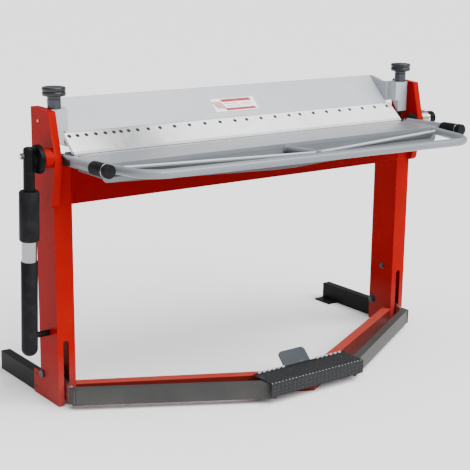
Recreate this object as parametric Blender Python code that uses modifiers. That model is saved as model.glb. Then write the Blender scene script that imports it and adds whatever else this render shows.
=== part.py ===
"""Foot-operated sheet metal brake on a welded stand.

The bending line lies along X, the operator stands on the -Y side, and +Z is up. Every size is in metres.
Heights in the code are counted from the bending line and lengths along X from the middle of the bed. One
empty then lifts everything onto the floor and centres the bounding box on the origin.
"""
import math

import bmesh
import bpy
from mathutils import Matrix, Vector

# Driving sizes
GAP = 0.0003
BED_HEIGHT = 0.712
HALF_BED = 0.606
HALF_BLADE = 0.610
HALF_LEAF = 0.612
HALF_COVER = 0.600
COLUMN_INNER = 0.613
COLUMN_OUTER = 0.668
COLUMN_FRONT = 0.014
COLUMN_REAR = 0.120
COLUMN_TOP = -0.030
SHEET = 0.004
CHEEK_INNER = 0.6615
CHEEK_THICK = 0.022
CHEEK_FOOT = -0.135
ROD_X = 0.642
ROD_RADIUS = 0.007
TUBE_HEIGHT = 0.058
TUBE_WIDTH = 0.030
TUBE_WALL = 0.003

# Bending leaf
LEAF_DEPTH = 0.155
LEAF_THICK = 0.012
EDGE_BAR_DEPTH = 0.014
SKIRT_END_DROP = 0.050
SKIRT_MIDDLE_DROP = 0.074
BRACE_END = (0.572, 0.187)
BRACE_REAR = 0.588
BRACE_APEX = 0.288
HANDLE_X = 0.641
HANDLE_DROP = 0.009
HANDLE_RISE = 0.020
HANDLE_RADIUS = 0.0145
GRIP_RADIUS = 0.0185
GRIP_START = 0.157
GRIP_END = 0.238
BOW_RADIUS = 0.012
BOW_DROP = 0.012
BOW_FRONT = 0.332
BOW_REAR_X = 0.598
BOW_CORNER_X = 0.589
BOW_CORNER_RADIUS = 0.070
BOW_TILT = 0.0075
SHAFT_RADIUS = 0.014
DISC_INNER = 0.713
DISC_OUTER = 0.728
DISC_RADIUS = 0.039
COLLAR_INNER = 0.727
COLLAR_OUTER = 0.752
COLLAR_RADIUS = 0.022

# Swing lever
LEVER_X = -0.7445
LEVER_LEAN = math.radians(3.4)
ARM_RADIUS = 0.0153
SOCKET_RADIUS = 0.027
LEVER_TUBE_RADIUS = 0.0205
LEVER_GRIP_RADIUS = 0.0228

# Upper beam
KNOB_LOW = 0.1565
COVER_LOW = (0.0625, 0.0525)
COVER_RISE = 0.0845
BLADE_NOSE = (0.0006, 0.0035)
BLADE_TOP = (0.0585, 0.0525)
BLADE_SLOPE = math.atan2(BLADE_TOP[1] - BLADE_NOSE[1], BLADE_TOP[0] - BLADE_NOSE[0])
FINGER_WIDTHS = (0.025, 0.025, 0.030, 0.030, 0.030, 0.025, 0.020, 0.030, 0.030, 0.040, 0.040, 0.060)
WIDE_FINGERS = 4
SCREWS_PER_WIDE_FINGER = 4
WIDE_SCREW_PITCH = 0.055
SCREW_HOLE_RADIUS = 0.0054

# Foot linkage: the rod pin swings evenly about the height of the pedal's pivot
PIVOT_Y = 0.106
PIVOT_Z = -0.640
CRANK = 0.060
HALF_TRAVEL = math.radians(9.0)
ROD_Y = PIVOT_Y - CRANK * math.cos(HALF_TRAVEL)
PIN_Z = PIVOT_Z - CRANK * math.sin(HALF_TRAVEL)
PEDAL_TOP = -0.6465
PEDAL_HALF = 0.175
ARM_WIDTH = 0.025
ARM_SLOPE = 0.565
ARM_DEPTH = ARM_WIDTH * math.sqrt(1 + ARM_SLOPE**2)
ARM_END = 0.6435
ARM_TOP = -0.6495
ARM_BOTTOM = -0.6975
LATCH_Y = -0.2275
LATCH_Z = -0.6655
HOOK_REACH = 0.010
HOOK_TOP = -0.6945
HOOK_BOTTOM = -0.7040

# Bounding box: the lever's sleeve to the right collar, the bow's front to the rear of the feet
LEFT_EXTENT = -LEVER_X + SOCKET_RADIUS
FOOT_REAR = 0.390
CENTRE_X = (COLLAR_OUTER - LEFT_EXTENT) / 2
CENTRE_Y = (FOOT_REAR - BOW_FRONT - BOW_RADIUS) / 2

SIDES = (("left", -1), ("right", 1))

COLOURS = {
    "red_paint": ((0.62, 0.030, 0.020), 0.35, 0.0),
    "grey_paint": ((0.55, 0.58, 0.61), 0.40, 0.0),
    "dark_grey_paint": ((0.070, 0.078, 0.085), 0.45, 0.0),
    "black_paint": ((0.020, 0.021, 0.023), 0.50, 0.0),
    "ground_steel": ((0.75, 0.76, 0.77), 0.28, 1.0),
    "dark_steel": ((0.22, 0.22, 0.23), 0.40, 1.0),
    "chrome_plate": ((0.80, 0.80, 0.82), 0.12, 1.0),
    "black_plastic": ((0.018, 0.018, 0.020), 0.42, 0.0),
    "black_rubber": ((0.015, 0.015, 0.016), 0.75, 0.0),
    "bronze": ((0.60, 0.42, 0.20), 0.35, 1.0),
    "label_film": ((0.85, 0.85, 0.85), 0.35, 0.0),
}


def clear_scene():
    """Removes everything that the scene starts with."""
    for obj in list(bpy.data.objects):
        bpy.data.objects.remove(obj, do_unlink=True)


def new_collection(name):
    collection = bpy.data.collections.new(name)
    bpy.context.scene.collection.children.link(collection)
    return collection


def paint(obj, finish):
    """Gives the object a Principled material of its own in one of the named finishes."""
    colour, roughness, metallic = COLOURS[finish]
    material = bpy.data.materials.new(obj.name + "_" + finish)
    material.use_nodes = True
    shader = material.node_tree.nodes["Principled BSDF"]
    shader.inputs["Base Color"].default_value = (*colour, 1.0)
    shader.inputs["Roughness"].default_value = roughness
    shader.inputs["Metallic"].default_value = metallic
    material.diffuse_color = (*colour, 1.0)
    obj.data.materials.clear()
    obj.data.materials.append(material)


def add_part(obj, finish):
    """Files a finished object among the brake's parts, under the frame's empty."""
    PARTS.objects.link(obj)
    obj.parent = FRAME
    paint(obj, finish)
    return obj


def mesh_object(name, bm):
    mesh = bpy.data.meshes.new(name)
    bmesh.ops.recalc_face_normals(bm, faces=bm.faces)
    bm.to_mesh(mesh)
    bm.free()
    return bpy.data.objects.new(name, mesh)


def box(name, low, high):
    """An upright box between two corners."""
    low, high = Vector(low), Vector(high)
    bm = bmesh.new()
    bmesh.ops.create_cube(bm, size=1.0)
    bmesh.ops.scale(bm, vec=high - low, verts=bm.verts)
    bmesh.ops.translate(bm, vec=(low + high) / 2, verts=bm.verts)
    return mesh_object(name, bm)


def rod(name, start, end, radius, sides=24):
    """A round bar between two points."""
    start, end = Vector(start), Vector(end)
    bm = bmesh.new()
    bmesh.ops.create_cone(
        bm, cap_ends=True, segments=sides, radius1=radius, radius2=radius, depth=(end - start).length
    )
    turn = (end - start).to_track_quat("Z", "Y").to_matrix().to_4x4()
    bmesh.ops.transform(bm, matrix=Matrix.Translation((start + end) / 2) @ turn, verts=bm.verts)
    obj = mesh_object(name, bm)
    smooth(obj)
    return obj


def smooth(obj):
    obj.data.shade_smooth()
    obj.data.set_sharp_from_angle(angle=math.radians(35))


def from_curve(name, curve, matrix):
    """Turns a curve's evaluated surface into a closed mesh object."""
    holder = bpy.data.objects.new(name + "_curve", curve)
    bpy.context.scene.collection.objects.link(holder)
    holder.matrix_world = matrix
    bpy.context.view_layer.update()
    graph = bpy.context.evaluated_depsgraph_get()
    mesh = bpy.data.meshes.new_from_object(holder.evaluated_get(graph))
    mesh.name = name
    bm = bmesh.new()
    bm.from_mesh(mesh)
    bmesh.ops.transform(bm, matrix=matrix, verts=bm.verts)
    bmesh.ops.remove_doubles(bm, verts=bm.verts, dist=0.00002)
    bmesh.ops.recalc_face_normals(bm, faces=bm.faces)
    bm.to_mesh(mesh)
    bm.free()
    bpy.data.objects.remove(holder, do_unlink=True)
    return bpy.data.objects.new(name, mesh)


def flat_outline(name, outline, thickness, matrix):
    """A flat outline filled on both sides and thickened about its own plane."""
    curve = bpy.data.curves.new(name, "CURVE")
    curve.dimensions = "2D"
    curve.fill_mode = "BOTH"
    curve.extrude = thickness / 2
    spline = curve.splines.new("POLY")
    spline.points.add(len(outline) - 1)
    for point, (u, v) in zip(spline.points, outline):
        point.co = (u, v, 0, 1)
    spline.use_cyclic_u = True
    return from_curve(name, curve, matrix)


ACROSS = Matrix(((0, 0, 1, 0), (1, 0, 0, 0), (0, 1, 0, 0), (0, 0, 0, 1)))


def section(name, outline, x_low, x_high):
    """A (y, z) outline carried along X."""
    middle = Matrix.Translation(((x_low + x_high) / 2, 0, 0))
    return flat_outline(name, outline, x_high - x_low, middle @ ACROSS)


def slab(name, outline, z_low, z_high):
    """A plan outline in (x, y) carried up Z."""
    return flat_outline(name, outline, z_high - z_low, Matrix.Translation((0, 0, (z_low + z_high) / 2)))


def pipe(name, points, radius, resolution=3):
    """A round tube filled at its ends, on a run of straight and sampled points."""
    curve = bpy.data.curves.new(name, "CURVE")
    curve.dimensions = "3D"
    curve.bevel_depth = radius
    curve.bevel_resolution = resolution
    curve.use_fill_caps = True
    spline = curve.splines.new("POLY")
    spline.points.add(len(points) - 1)
    for point, place in zip(spline.points, points):
        point.co = (*place, 1)
    obj = from_curve(name, curve, Matrix.Identity(4))
    smooth(obj)
    return obj


def turned(name, profile, matrix, steps=32):
    """A turned solid. The (radius, height) profile runs down the outer side, top to bottom."""
    mesh = bpy.data.meshes.new(name)
    points = [(radius, 0, height) for radius, height in profile]
    mesh.from_pydata(points, [(i, i + 1) for i in range(len(points) - 1)], [])
    obj = bpy.data.objects.new(name, mesh)
    if profile[0][0] > 0:
        edges = [(i, (i + 1) % len(points)) for i in range(len(points))]
        mesh.clear_geometry()
        mesh.from_pydata(points, edges, [])
    screw = obj.modifiers.new("turn", "SCREW")
    screw.steps = screw.render_steps = steps
    screw.use_merge_vertices = True
    screw.merge_threshold = 0.00001
    obj.matrix_local = matrix
    return obj


def helper(obj):
    """Files a cutter or an added piece among the hidden helpers."""
    HELPERS.objects.link(obj)
    obj.parent = FRAME
    obj.hide_render = True
    obj.display_type = "WIRE"
    return obj


def cut(obj, *cutters):
    for cutter in cutters:
        combine(obj, cutter, "DIFFERENCE")
    return obj


def join(obj, *others):
    for other in others:
        combine(obj, other, "UNION")
    return obj


def combine(obj, other, operation):
    boolean = obj.modifiers.new(operation.lower(), "BOOLEAN")
    boolean.operation = operation
    boolean.solver = "EXACT"
    boolean.object = helper(other)


def span(side, near, far):
    """The x range between two distances from the middle, on one side of the bed."""
    return sorted((side * near, side * far))


def side_box(name, side, x_range, y_range, z_range):
    low, high = span(side, *x_range)
    return box(name, (low, y_range[0], z_range[0]), (high, y_range[1], z_range[1]))


def side_rod(name, side, x_range, y, z, radius, sides=24):
    """A round bar parallel to X, on one side of the bed."""
    low, high = span(side, *x_range)
    return rod(name, (low, y, z), (high, y, z), radius, sides)


# ---- stand -------------------------------------------------------------------------------------------


def column(side_name, side):
    """A channel folded from sheet, open at the back, slotted in front for the pedal's lever."""
    name = "column_" + side_name
    floor = -BED_HEIGHT
    inner, outer = COLUMN_INNER + SHEET, COLUMN_OUTER - SHEET
    hollow = side_box(
        name + "_hollow",
        side,
        (inner, outer),
        (COLUMN_FRONT + SHEET, COLUMN_REAR + 0.050),
        (floor - 0.01, COLUMN_TOP - SHEET),
    )
    ear = side_box(
        name + "_ear", side, (outer, COLUMN_OUTER), (COLUMN_REAR - 0.010, 0.163), (floor, floor + 0.072)
    )
    slot_half = 0.0085
    slot_top = -0.530
    slot = side_box(
        name + "_slot",
        side,
        (ROD_X - slot_half, ROD_X + slot_half),
        (COLUMN_FRONT - 0.01, COLUMN_FRONT + 0.03),
        (floor - 0.01, slot_top),
    )
    slot_end = rod(
        name + "_slot_end",
        (side * ROD_X, COLUMN_FRONT - 0.01, slot_top),
        (side * ROD_X, COLUMN_FRONT + 0.03, slot_top),
        slot_half,
        16,
    )
    pivot_hole = side_rod(name + "_pivot_hole", side, (0.600, 0.680), PIVOT_Y, PIVOT_Z, 0.0083)
    rod_hole = rod(
        name + "_rod_hole", (side * ROD_X, ROD_Y, COLUMN_TOP - 0.02), (side * ROD_X, ROD_Y, 0), 0.009
    )
    obj = side_box(
        name, side, (COLUMN_INNER, COLUMN_OUTER), (COLUMN_FRONT, COLUMN_REAR), (floor, COLUMN_TOP)
    )
    notch = side_box(
        name + "_notch", side, (CHEEK_INNER - GAP, 0.700), (-0.050, 0.200), (CHEEK_FOOT - GAP, 0.010)
    )
    cut(join(cut(obj, hollow), ear), slot, slot_end, pivot_hole, rod_hole, notch)
    return add_part(obj, "red_paint")


CHEEK_OUTLINE = (
    (0.102, 0.126),
    (0.072, 0.126),
    (0.004, 0.121),
    (-0.028, -0.008),
    (-0.004, -0.128),
    (0.003, CHEEK_FOOT),
    (0.102, CHEEK_FOOT),
)


def cheek(side_name, side):
    """The thick side plate let into the column's top, with the leaf's bearing boss on its outer face."""
    name = "cheek_" + side_name
    inner = CHEEK_INNER
    outer = inner + CHEEK_THICK
    low, high = span(side, inner, outer)
    obj = section(name, CHEEK_OUTLINE, low, high)
    boss = side_rod(name + "_boss", side, (outer - 0.002, DISC_INNER - GAP), 0, 0, 0.026, 32)
    bore = side_rod(name + "_bore", side, (inner - 0.01, DISC_INNER + 0.01), 0, 0, 0.0183, 32)
    cut(join(obj, boss), bore)
    return add_part(obj, "red_paint")


def bearing_bush(side_name, side):
    name = "leaf_bush_" + side_name
    x_range = (CHEEK_INNER + GAP, DISC_INNER - GAP)
    obj = side_rod(name, side, x_range, 0, 0, 0.018, 32)
    cut(obj, side_rod(name + "_bore", side, (x_range[0] - 0.01, x_range[1] + 0.01), 0, 0, 0.01435, 32))
    return add_part(obj, "bronze")


def cross_beam():
    """The channel between the columns, open at the back, that carries the bed."""
    half = COLUMN_INNER - GAP
    low, high = -0.136, -0.035
    wall = 0.005
    obj = box("cross_beam", (-half, COLUMN_FRONT, low), (half, 0.080, high))
    hollow = box(
        "cross_beam_hollow", (-0.7, COLUMN_FRONT + wall, low + wall), (0.7, 0.090, high - wall)
    )
    return add_part(cut(obj, hollow), "red_paint")


def bed_bar():
    """The lower jaw: its front upper edge is the bending line."""
    outline = (
        (0.0006, -0.0003),
        (0.062, -0.0003),
        (0.062, -0.035 + GAP),
        (0.013, -0.035 + GAP),
        (0.0006, -0.022),
    )
    return add_part(section("bed_bar", outline, -HALF_BED, HALF_BED), "dark_steel")


def base_frame():
    """The V of rectangular tube on the floor between the columns, its apex pointing forward."""
    half = COLUMN_INNER - GAP
    front, apex = 0.014, -0.303
    depth = 0.034
    outline = (
        (-half, front),
        (0, apex),
        (half, front),
        (half, front + depth),
        (0, apex + depth),
        (-half, front + depth),
    )
    floor = -BED_HEIGHT
    obj = slab("base_frame", outline, floor, floor + TUBE_HEIGHT)
    slope = (front - apex) / half
    skin = TUBE_WALL * depth / TUBE_WIDTH
    reach = half + 0.01
    inside = (
        (-reach, apex + skin + slope * reach),
        (0, apex + skin),
        (reach, apex + skin + slope * reach),
        (reach, apex + depth - skin + slope * reach),
        (0, apex + depth - skin),
        (-reach, apex + depth - skin + slope * reach),
    )
    hollow = slab("base_frame_hollow", inside, floor + TUBE_WALL, floor + TUBE_HEIGHT - TUBE_WALL)
    return add_part(cut(obj, hollow), "red_paint")


def foot(side_name, side):
    """A rectangular tube running back from the column, with a drilled tab for a floor anchor."""
    name = "foot_" + side_name
    floor = -BED_HEIGHT
    outer = COLUMN_OUTER - SHEET - GAP
    inner = outer - TUBE_WIDTH
    start = COLUMN_REAR + 0.002
    obj = side_box(name, side, (inner, outer), (start, FOOT_REAR), (floor, floor + TUBE_HEIGHT))
    hollow = side_box(
        name + "_hollow",
        side,
        (inner + TUBE_WALL, outer - TUBE_WALL),
        (start - 0.01, FOOT_REAR - TUBE_WALL),
        (floor + TUBE_WALL, floor + TUBE_HEIGHT - TUBE_WALL),
    )
    tab_x, tab_y = (inner - 0.038, inner + 0.001), (0.312, FOOT_REAR)
    tab = side_box(name + "_tab", side, tab_x, tab_y, (floor, floor + 0.005))
    hole = rod(
        name + "_hole",
        (side * (inner - 0.020), 0.350, floor - 0.01),
        (side * (inner - 0.020), 0.350, floor + 0.02),
        0.0065,
        20,
    )
    cut(join(cut(obj, hollow), tab), hole)
    return add_part(obj, "black_paint")


def rod_guide(side_name, side):
    """A block inside the column that keeps the pull rod upright."""
    name = "rod_guide_" + side_name
    z_range = (-0.520, -0.490)
    obj = side_box(name, side, (COLUMN_INNER + SHEET + GAP, COLUMN_OUTER - SHEET - GAP),
                   (ROD_Y - 0.021, ROD_Y + 0.023), z_range)
    low, high = z_range[0] - 0.01, z_range[1] + 0.01
    bore = rod(name + "_bore", (side * ROD_X, ROD_Y, low), (side * ROD_X, ROD_Y, high), 0.0075)
    return add_part(cut(obj, bore), "dark_steel")


def lever_stop():
    """The stub pin behind the swing lever that holds the leaf level at rest."""
    obj = rod("lever_stop", (-COLUMN_OUTER - GAP, 0.063, -0.505), (-0.746, 0.063, -0.505), 0.0085)
    return add_part(obj, "black_paint")


def pedal_pivot(side_name, side):
    """The bolt through the foot of the column on which the pedal's lever turns."""
    name = "pedal_pivot_" + side_name
    obj = side_rod(name, side, (0.606, 0.6685), PIVOT_Y, PIVOT_Z, 0.008)
    head = side_rod(name + "_head", side, (COLUMN_OUTER + GAP, 0.675), PIVOT_Y, PIVOT_Z, 0.0125, 6)
    return add_part(join(obj, head), "dark_steel")


def latch_striker():
    """A flat bar across the inside of the V, under which the pedal's latch hooks when it is turned."""
    floor = -BED_HEIGHT
    half = 0.094
    obj = box("latch_striker", (-half, -0.216, floor + 0.022), (half, -0.204, floor + 0.036))
    return add_part(obj, "red_paint")


# ---- upper beam --------------------------------------------------------------------------------------



def clamp_cover():
    """The sloping plate of the upper beam, with rounded upper corners."""
    thick = 0.005
    length = COVER_RISE * math.sqrt(2)
    corner = 0.012
    outline = [(-HALF_COVER, 0), (HALF_COVER, 0)]
    for centre, first in ((HALF_COVER - corner, 0), (-HALF_COVER + corner, 90)):
        for step in range(7):
            angle = math.radians(first + 15 * step)
            outline.append((centre + corner * math.cos(angle), length - corner + corner * math.sin(angle)))
    across, along = Vector((1, 0, 0)), Vector((0, 1, 1)).normalized()
    out = across.cross(along)
    middle = Vector((0, *COVER_LOW)) - out * thick / 2
    matrix = Matrix.Translation(middle) @ Matrix((across, along, out)).transposed().to_4x4()
    return add_part(flat_outline("clamp_cover", outline, thick, matrix), "grey_paint")


def screw_places():
    """Where the clamping fingers' screws stand along X."""
    places = []
    edge = -HALF_BLADE
    for width in FINGER_WIDTHS:
        places.append(edge + width / 2)
        edge += width
    wide = (HALF_BLADE - edge) / WIDE_FINGERS
    for finger in range(WIDE_FINGERS):
        middle = edge + wide * (finger + 0.5)
        for screw in range(SCREWS_PER_WIDE_FINGER):
            places.append(middle + WIDE_SCREW_PITCH * (screw - (SCREWS_PER_WIDE_FINGER - 1) / 2))
    return places


def clamp_blade():
    """The ground fingers that press the sheet, as one bar with a row of screw holes."""
    outline = (
        (BLADE_NOSE[0], GAP),
        BLADE_NOSE,
        BLADE_TOP,
        (BLADE_TOP[0] + 0.0060, BLADE_TOP[1] - 0.0070),
        (0.0120, GAP),
    )
    obj = section("clamp_blade", outline, -HALF_BLADE, HALF_BLADE)
    along = Vector((0, math.cos(BLADE_SLOPE), math.sin(BLADE_SLOPE)))
    out = Vector((0, -math.sin(BLADE_SLOPE), math.cos(BLADE_SLOPE)))
    row = Vector((0, *BLADE_NOSE)) + along * 0.0625
    turn = out.to_track_quat("Z", "Y").to_matrix().to_4x4()
    radius = SCREW_HOLE_RADIUS
    drills = bmesh.new()
    for place in screw_places():
        made = bmesh.ops.create_cone(
            drills, cap_ends=True, segments=10, radius1=radius, radius2=radius, depth=0.04
        )
        matrix = Matrix.Translation(row + Vector((place, 0, 0))) @ turn
        bmesh.ops.transform(drills, matrix=matrix, verts=made["verts"])
    return add_part(cut(obj, mesh_object("clamp_blade_drills", drills)), "ground_steel")


def clamp_beam():
    """The angle behind the blade that stiffens the upper beam."""
    outline = (
        (0.030, 0.0140),
        (0.100, 0.0140),
        (0.100, 0.0790),
        (0.092, 0.0710),
        (0.092, 0.0220),
        (0.039, 0.0220),
    )
    return add_part(section("clamp_beam", outline, -HALF_COVER, HALF_COVER), "grey_paint")


def bracket(side_name, side):
    """The end block of the upper beam: it slides over the column top and carries the clamp screw."""
    name = "clamp_bracket_" + side_name
    outer, front_y = CHEEK_INNER - 0.0007, 0.031
    obj = side_box(name, side, (0.610, outer), (front_y, 0.078), (0.062, 0.122))
    front = side_box(name + "_front", side, (0.6235, outer), (front_y, front_y + 0.0045), (0.026, 0.063))
    low, high = span(side, 0.6235, 0.6290)
    gusset_outline = ((front_y + 0.004, 0.030), (front_y + 0.008, 0.030), (0.064, 0.0625),
                      (front_y + 0.004, 0.0625))
    gusset = section(name + "_gusset", gusset_outline, low, high)
    low, high = span(side, HALF_COVER + GAP, 0.6105)
    plate_outline = ((0.066, 0.060), (0.098, 0.060), (0.150, 0.128), (0.150, 0.136), (0.146, 0.136),
                     (0.092, 0.122), (0.066, 0.122))
    plate = section(name + "_plate", plate_outline, low, high)
    bore = rod(name + "_bore", (side * ROD_X, ROD_Y, 0.05), (side * ROD_X, ROD_Y, 0.13), 0.0075)
    cut(join(obj, front, gusset, plate), bore)
    return add_part(obj, "grey_paint")


def label_plate():
    """A plain film label stuck on the sloping cover."""
    thick = 0.0008
    along = Vector((0, 1, 1)).normalized()
    across = Vector((1, 0, 0))
    out = across.cross(along)
    middle = Vector((-0.005, *COVER_LOW)) + along * 0.046 + out * (thick / 2 + GAP)
    matrix = Matrix.Translation(middle) @ Matrix((across, along, out)).transposed().to_4x4()
    half_width, half_height = 0.080, 0.024
    outline = ((-half_width, -half_height), (half_width, -half_height), (half_width, half_height),
               (-half_width, half_height))
    return add_part(flat_outline("label_plate", outline, thick, matrix), "label_film")


def pull_rod(side_name, side):
    """The rod inside the column, forked over the pedal's lever with a pin through the fork."""
    name = "pull_rod_" + side_name
    x = side * ROD_X
    obj = rod(name, (x, ROD_Y, -0.620), (x, ROD_Y, 0.156), ROD_RADIUS, 20)
    fork_x, throat_x = (ROD_X - 0.012, ROD_X + 0.012), (ROD_X - 0.0068, ROD_X + 0.0068)
    fork = side_box(name + "_fork", side, fork_x, (ROD_Y - 0.011, ROD_Y + 0.011), (-0.664, -0.614))
    throat = side_box(name + "_throat", side, throat_x, (ROD_Y - 0.02, ROD_Y + 0.02), (-0.670, -0.6235))
    pin = side_rod(name + "_pin", side, (ROD_X - 0.014, ROD_X + 0.014), ROD_Y, PIN_Z, 0.005, 20)
    join(cut(join(obj, fork), throat), pin)
    return add_part(obj, "dark_steel")


def lift_spring(side_name, side):
    """The coil between the column top and the bracket that lifts the upper beam."""
    low, high = COLUMN_TOP + 0.0022, 0.062 - 0.0022
    wire, radius, turns, steps = 0.0013, 0.0094, 9, 10
    points = []
    for step in range(turns * steps + 1):
        angle = 2 * math.pi * step / steps
        height = low + (high - low) * step / (turns * steps)
        points.append((side * ROD_X + radius * math.cos(angle), ROD_Y + radius * math.sin(angle), height))
    return add_part(pipe("lift_spring_" + side_name, points, wire, 2), "dark_steel")


def knob_stem(side_name, side):
    """The long nut on the pull rod, under the knob."""
    low, high = 0.122 + GAP, KNOB_LOW
    matrix = Matrix.Translation((side * ROD_X, ROD_Y, 0))
    radius = 0.0185
    profile = ((0.0074, high), (radius - 0.0015, high), (radius, high - 0.0015), (radius, low + 0.001),
               (radius - 0.001, low), (0.0074, low))
    return add_part(turned("knob_stem_" + side_name, profile, matrix, 28), "black_paint")


def knob(side_name, side):
    """A round knob with a groove round its waist."""
    low, high = KNOB_LOW + GAP, 0.181
    waist = (low + high) / 2
    matrix = Matrix.Translation((side * ROD_X, ROD_Y, 0))
    profile = (
        (0, high),
        (0.0265, high),
        (0.0305, high - 0.0018),
        (0.0320, high - 0.0048),
        (0.0305, high - 0.0082),
        (0.0282, waist + 0.0015),
        (0.0282, waist - 0.0015),
        (0.0305, low + 0.0082),
        (0.0320, low + 0.0048),
        (0.0305, low + 0.0018),
        (0.0275, low),
        (0, low),
    )
    return add_part(turned("knob_" + side_name, profile, matrix, 32), "black_plastic")


# ---- bending leaf ------------------------------------------------------------------------------------


def leaf_edge_bar():
    """The hardened strip along the leaf's bending edge."""
    outline = (
        (-0.0006, -GAP),
        (-EDGE_BAR_DEPTH, -GAP),
        (-EDGE_BAR_DEPTH, -LEAF_THICK),
        (-0.0040, -LEAF_THICK),
        (-0.0006, -0.0080),
    )
    return add_part(section("leaf_edge_bar", outline, -HALF_LEAF, HALF_LEAF), "ground_steel")


def leaf_plate():
    """The leaf's flat working face."""
    outline = ((-EDGE_BAR_DEPTH - GAP, -GAP), (-LEAF_DEPTH, -GAP), (-LEAF_DEPTH, -LEAF_THICK),
               (-EDGE_BAR_DEPTH - GAP, -LEAF_THICK))
    return add_part(section("leaf_plate", outline, -HALF_LEAF, HALF_LEAF), "grey_paint")


def leaf_skirt():
    """The web under the leaf's front edge, deeper in the middle, with a flange at each end."""
    top = -LEAF_THICK - GAP
    web, half, corner = 0.008, 0.6112, 0.009
    outline = ((-half, top), (half, top), (half, -SKIRT_END_DROP + corner), (half - corner, -SKIRT_END_DROP),
               (0.03, -SKIRT_MIDDLE_DROP), (-0.03, -SKIRT_MIDDLE_DROP), (corner - half, -SKIRT_END_DROP),
               (-half, -SKIRT_END_DROP + corner))
    upright = Matrix(((1, 0, 0, 0), (0, 0, -1, -LEAF_DEPTH + web / 2), (0, 1, 0, 0), (0, 0, 0, 1)))
    obj = flat_outline("leaf_skirt", outline, web, upright)
    weld_x = HANDLE_X - HANDLE_RADIUS - GAP
    for name, side in SIDES:
        rear = -LEAF_DEPTH
        rib_y, tie_y = (rear + web / 2, -0.020), (rear, -0.030)
        flange_x, flange_y = (HALF_LEAF + GAP, weld_x), (rear, -0.004)
        rib = side_box("leaf_skirt_rib_" + name, side, (0.604, half), rib_y, (-0.040, top))
        flange = side_box("leaf_skirt_flange_" + name, side, flange_x, flange_y, (-0.028, -GAP))
        tie = side_box("leaf_skirt_tie_" + name, side, (0.606, 0.620), tie_y, (-0.026, top - 0.001))
        join(obj, rib, flange, tie)
    return add_part(obj, "grey_paint")


def leaf_brace():
    """The shallow V pan that ties the leaf's front: high along its V edge and low at the web."""
    end_x, end_y = BRACE_END
    thick = 0.007
    high, low = -0.005, -0.030
    rear = -LEAF_DEPTH - GAP
    steps = 6
    bm = bmesh.new()
    rows = []
    for step in range(-steps, steps + 1):
        share = step / steps
        front_y = -(BRACE_APEX - (BRACE_APEX - end_y) * abs(share))
        corners = ((share * BRACE_REAR, rear, low), (share * end_x, front_y, high))
        ring = [bm.verts.new(corner) for corner in corners]
        ring += [bm.verts.new((x, y, z - thick)) for x, y, z in reversed(corners)]
        rows.append(ring)
    for first, second in zip(rows, rows[1:]):
        for i in range(4):
            j = (i + 1) % 4
            bm.faces.new((first[i], first[j], second[j], second[i]))
    bm.faces.new(rows[0])
    bm.faces.new(rows[-1])
    bmesh.ops.triangulate(bm, faces=bm.faces)
    obj = mesh_object("leaf_brace", bm)
    strut_start, strut_end = (0, -LEAF_DEPTH + 0.01, -0.017), (0, -0.34, -0.012)
    notch = rod("leaf_brace_notch", strut_start, strut_end, BOW_RADIUS + 0.0006, 20)
    return add_part(cut(obj, notch), "grey_paint")


def leaf_strut():
    """The tube from the middle of the web to the bow."""
    start = (0, -LEAF_DEPTH - 0.0008, -0.017)
    end = (0, -BOW_FRONT + BOW_RADIUS + 0.0008, -BOW_DROP)
    return add_part(rod("leaf_strut", start, end, BOW_RADIUS - 0.001, 20), "grey_paint")


def bow_handle():
    """The tube that bows out in front of the leaf, end to end of the web, a little higher at its left."""
    rear_y = -LEAF_DEPTH - 0.0005
    reach = BOW_FRONT + rear_y
    lean = math.atan2(BOW_REAR_X - BOW_CORNER_X, reach)
    centre_x, centre_y = BOW_CORNER_X - BOW_CORNER_RADIUS, -BOW_FRONT + BOW_CORNER_RADIUS
    half = [(BOW_REAR_X, rear_y), (BOW_REAR_X, rear_y - 0.004)]
    steps = 9
    for step in range(steps + 1):
        angle = lean + (math.pi / 2 - lean) * step / steps
        x = centre_x + BOW_CORNER_RADIUS * math.cos(angle)
        half.append((x, centre_y - BOW_CORNER_RADIUS * math.sin(angle)))
    outline = half + [(-x, y) for x, y in reversed(half)]
    points = []
    for x, y in outline:
        tilt = BOW_TILT * (x / BOW_CORNER_X) * min(1.0, (rear_y - y) / reach)
        points.append((x, y, -BOW_DROP - tilt))
    return add_part(pipe("bow_handle", points, BOW_RADIUS, 3), "grey_paint")


def handle_axis(side, forward):
    """The handle's own axis, which rises a little towards the front, looking forward or back along it."""
    turn = (math.pi / 2 if forward else -math.pi / 2) - math.atan(HANDLE_RISE)
    start = Matrix.Translation((side * HANDLE_X, 0, -HANDLE_DROP))
    return start @ Matrix.Rotation(turn, 4, "X")


def handle_rod(name, side, near, far, radius):
    """A round bar along the handle's axis, between two distances in front of the bending line."""
    axis = handle_axis(side, True)
    return rod(name, axis @ Vector((0, 0, near)), axis @ Vector((0, 0, far)), radius, 28)


def handle_tube(side_name, side):
    """A short tube welded to the end of the leaf and crossed by the pivot shaft."""
    name = "handle_tube_" + side_name
    obj = handle_rod(name, side, -0.0005, GRIP_END - 0.008, HANDLE_RADIUS)
    bore = handle_rod(name + "_bore", side, 0.020, GRIP_END, HANDLE_RADIUS - 0.0025)
    return add_part(cut(obj, bore), "grey_paint")


def tube_cap(side_name, side):
    """The black stack of rings closing the tube's rear end."""
    name = "tube_cap_" + side_name
    matrix = handle_axis(side, False) @ Matrix.Translation((0, 0, 0.0008))
    ring, groove = HANDLE_RADIUS + 0.0013, HANDLE_RADIUS + 0.0002
    profile = ((0, 0.011), (groove, 0.011), (ring, 0.0095), (ring, 0.0065), (groove, 0.0058),
               (groove, 0.0048), (ring, 0.0040), (ring, 0.0), (0, 0.0))
    return add_part(turned(name, profile, matrix, 28), "black_rubber")


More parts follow.
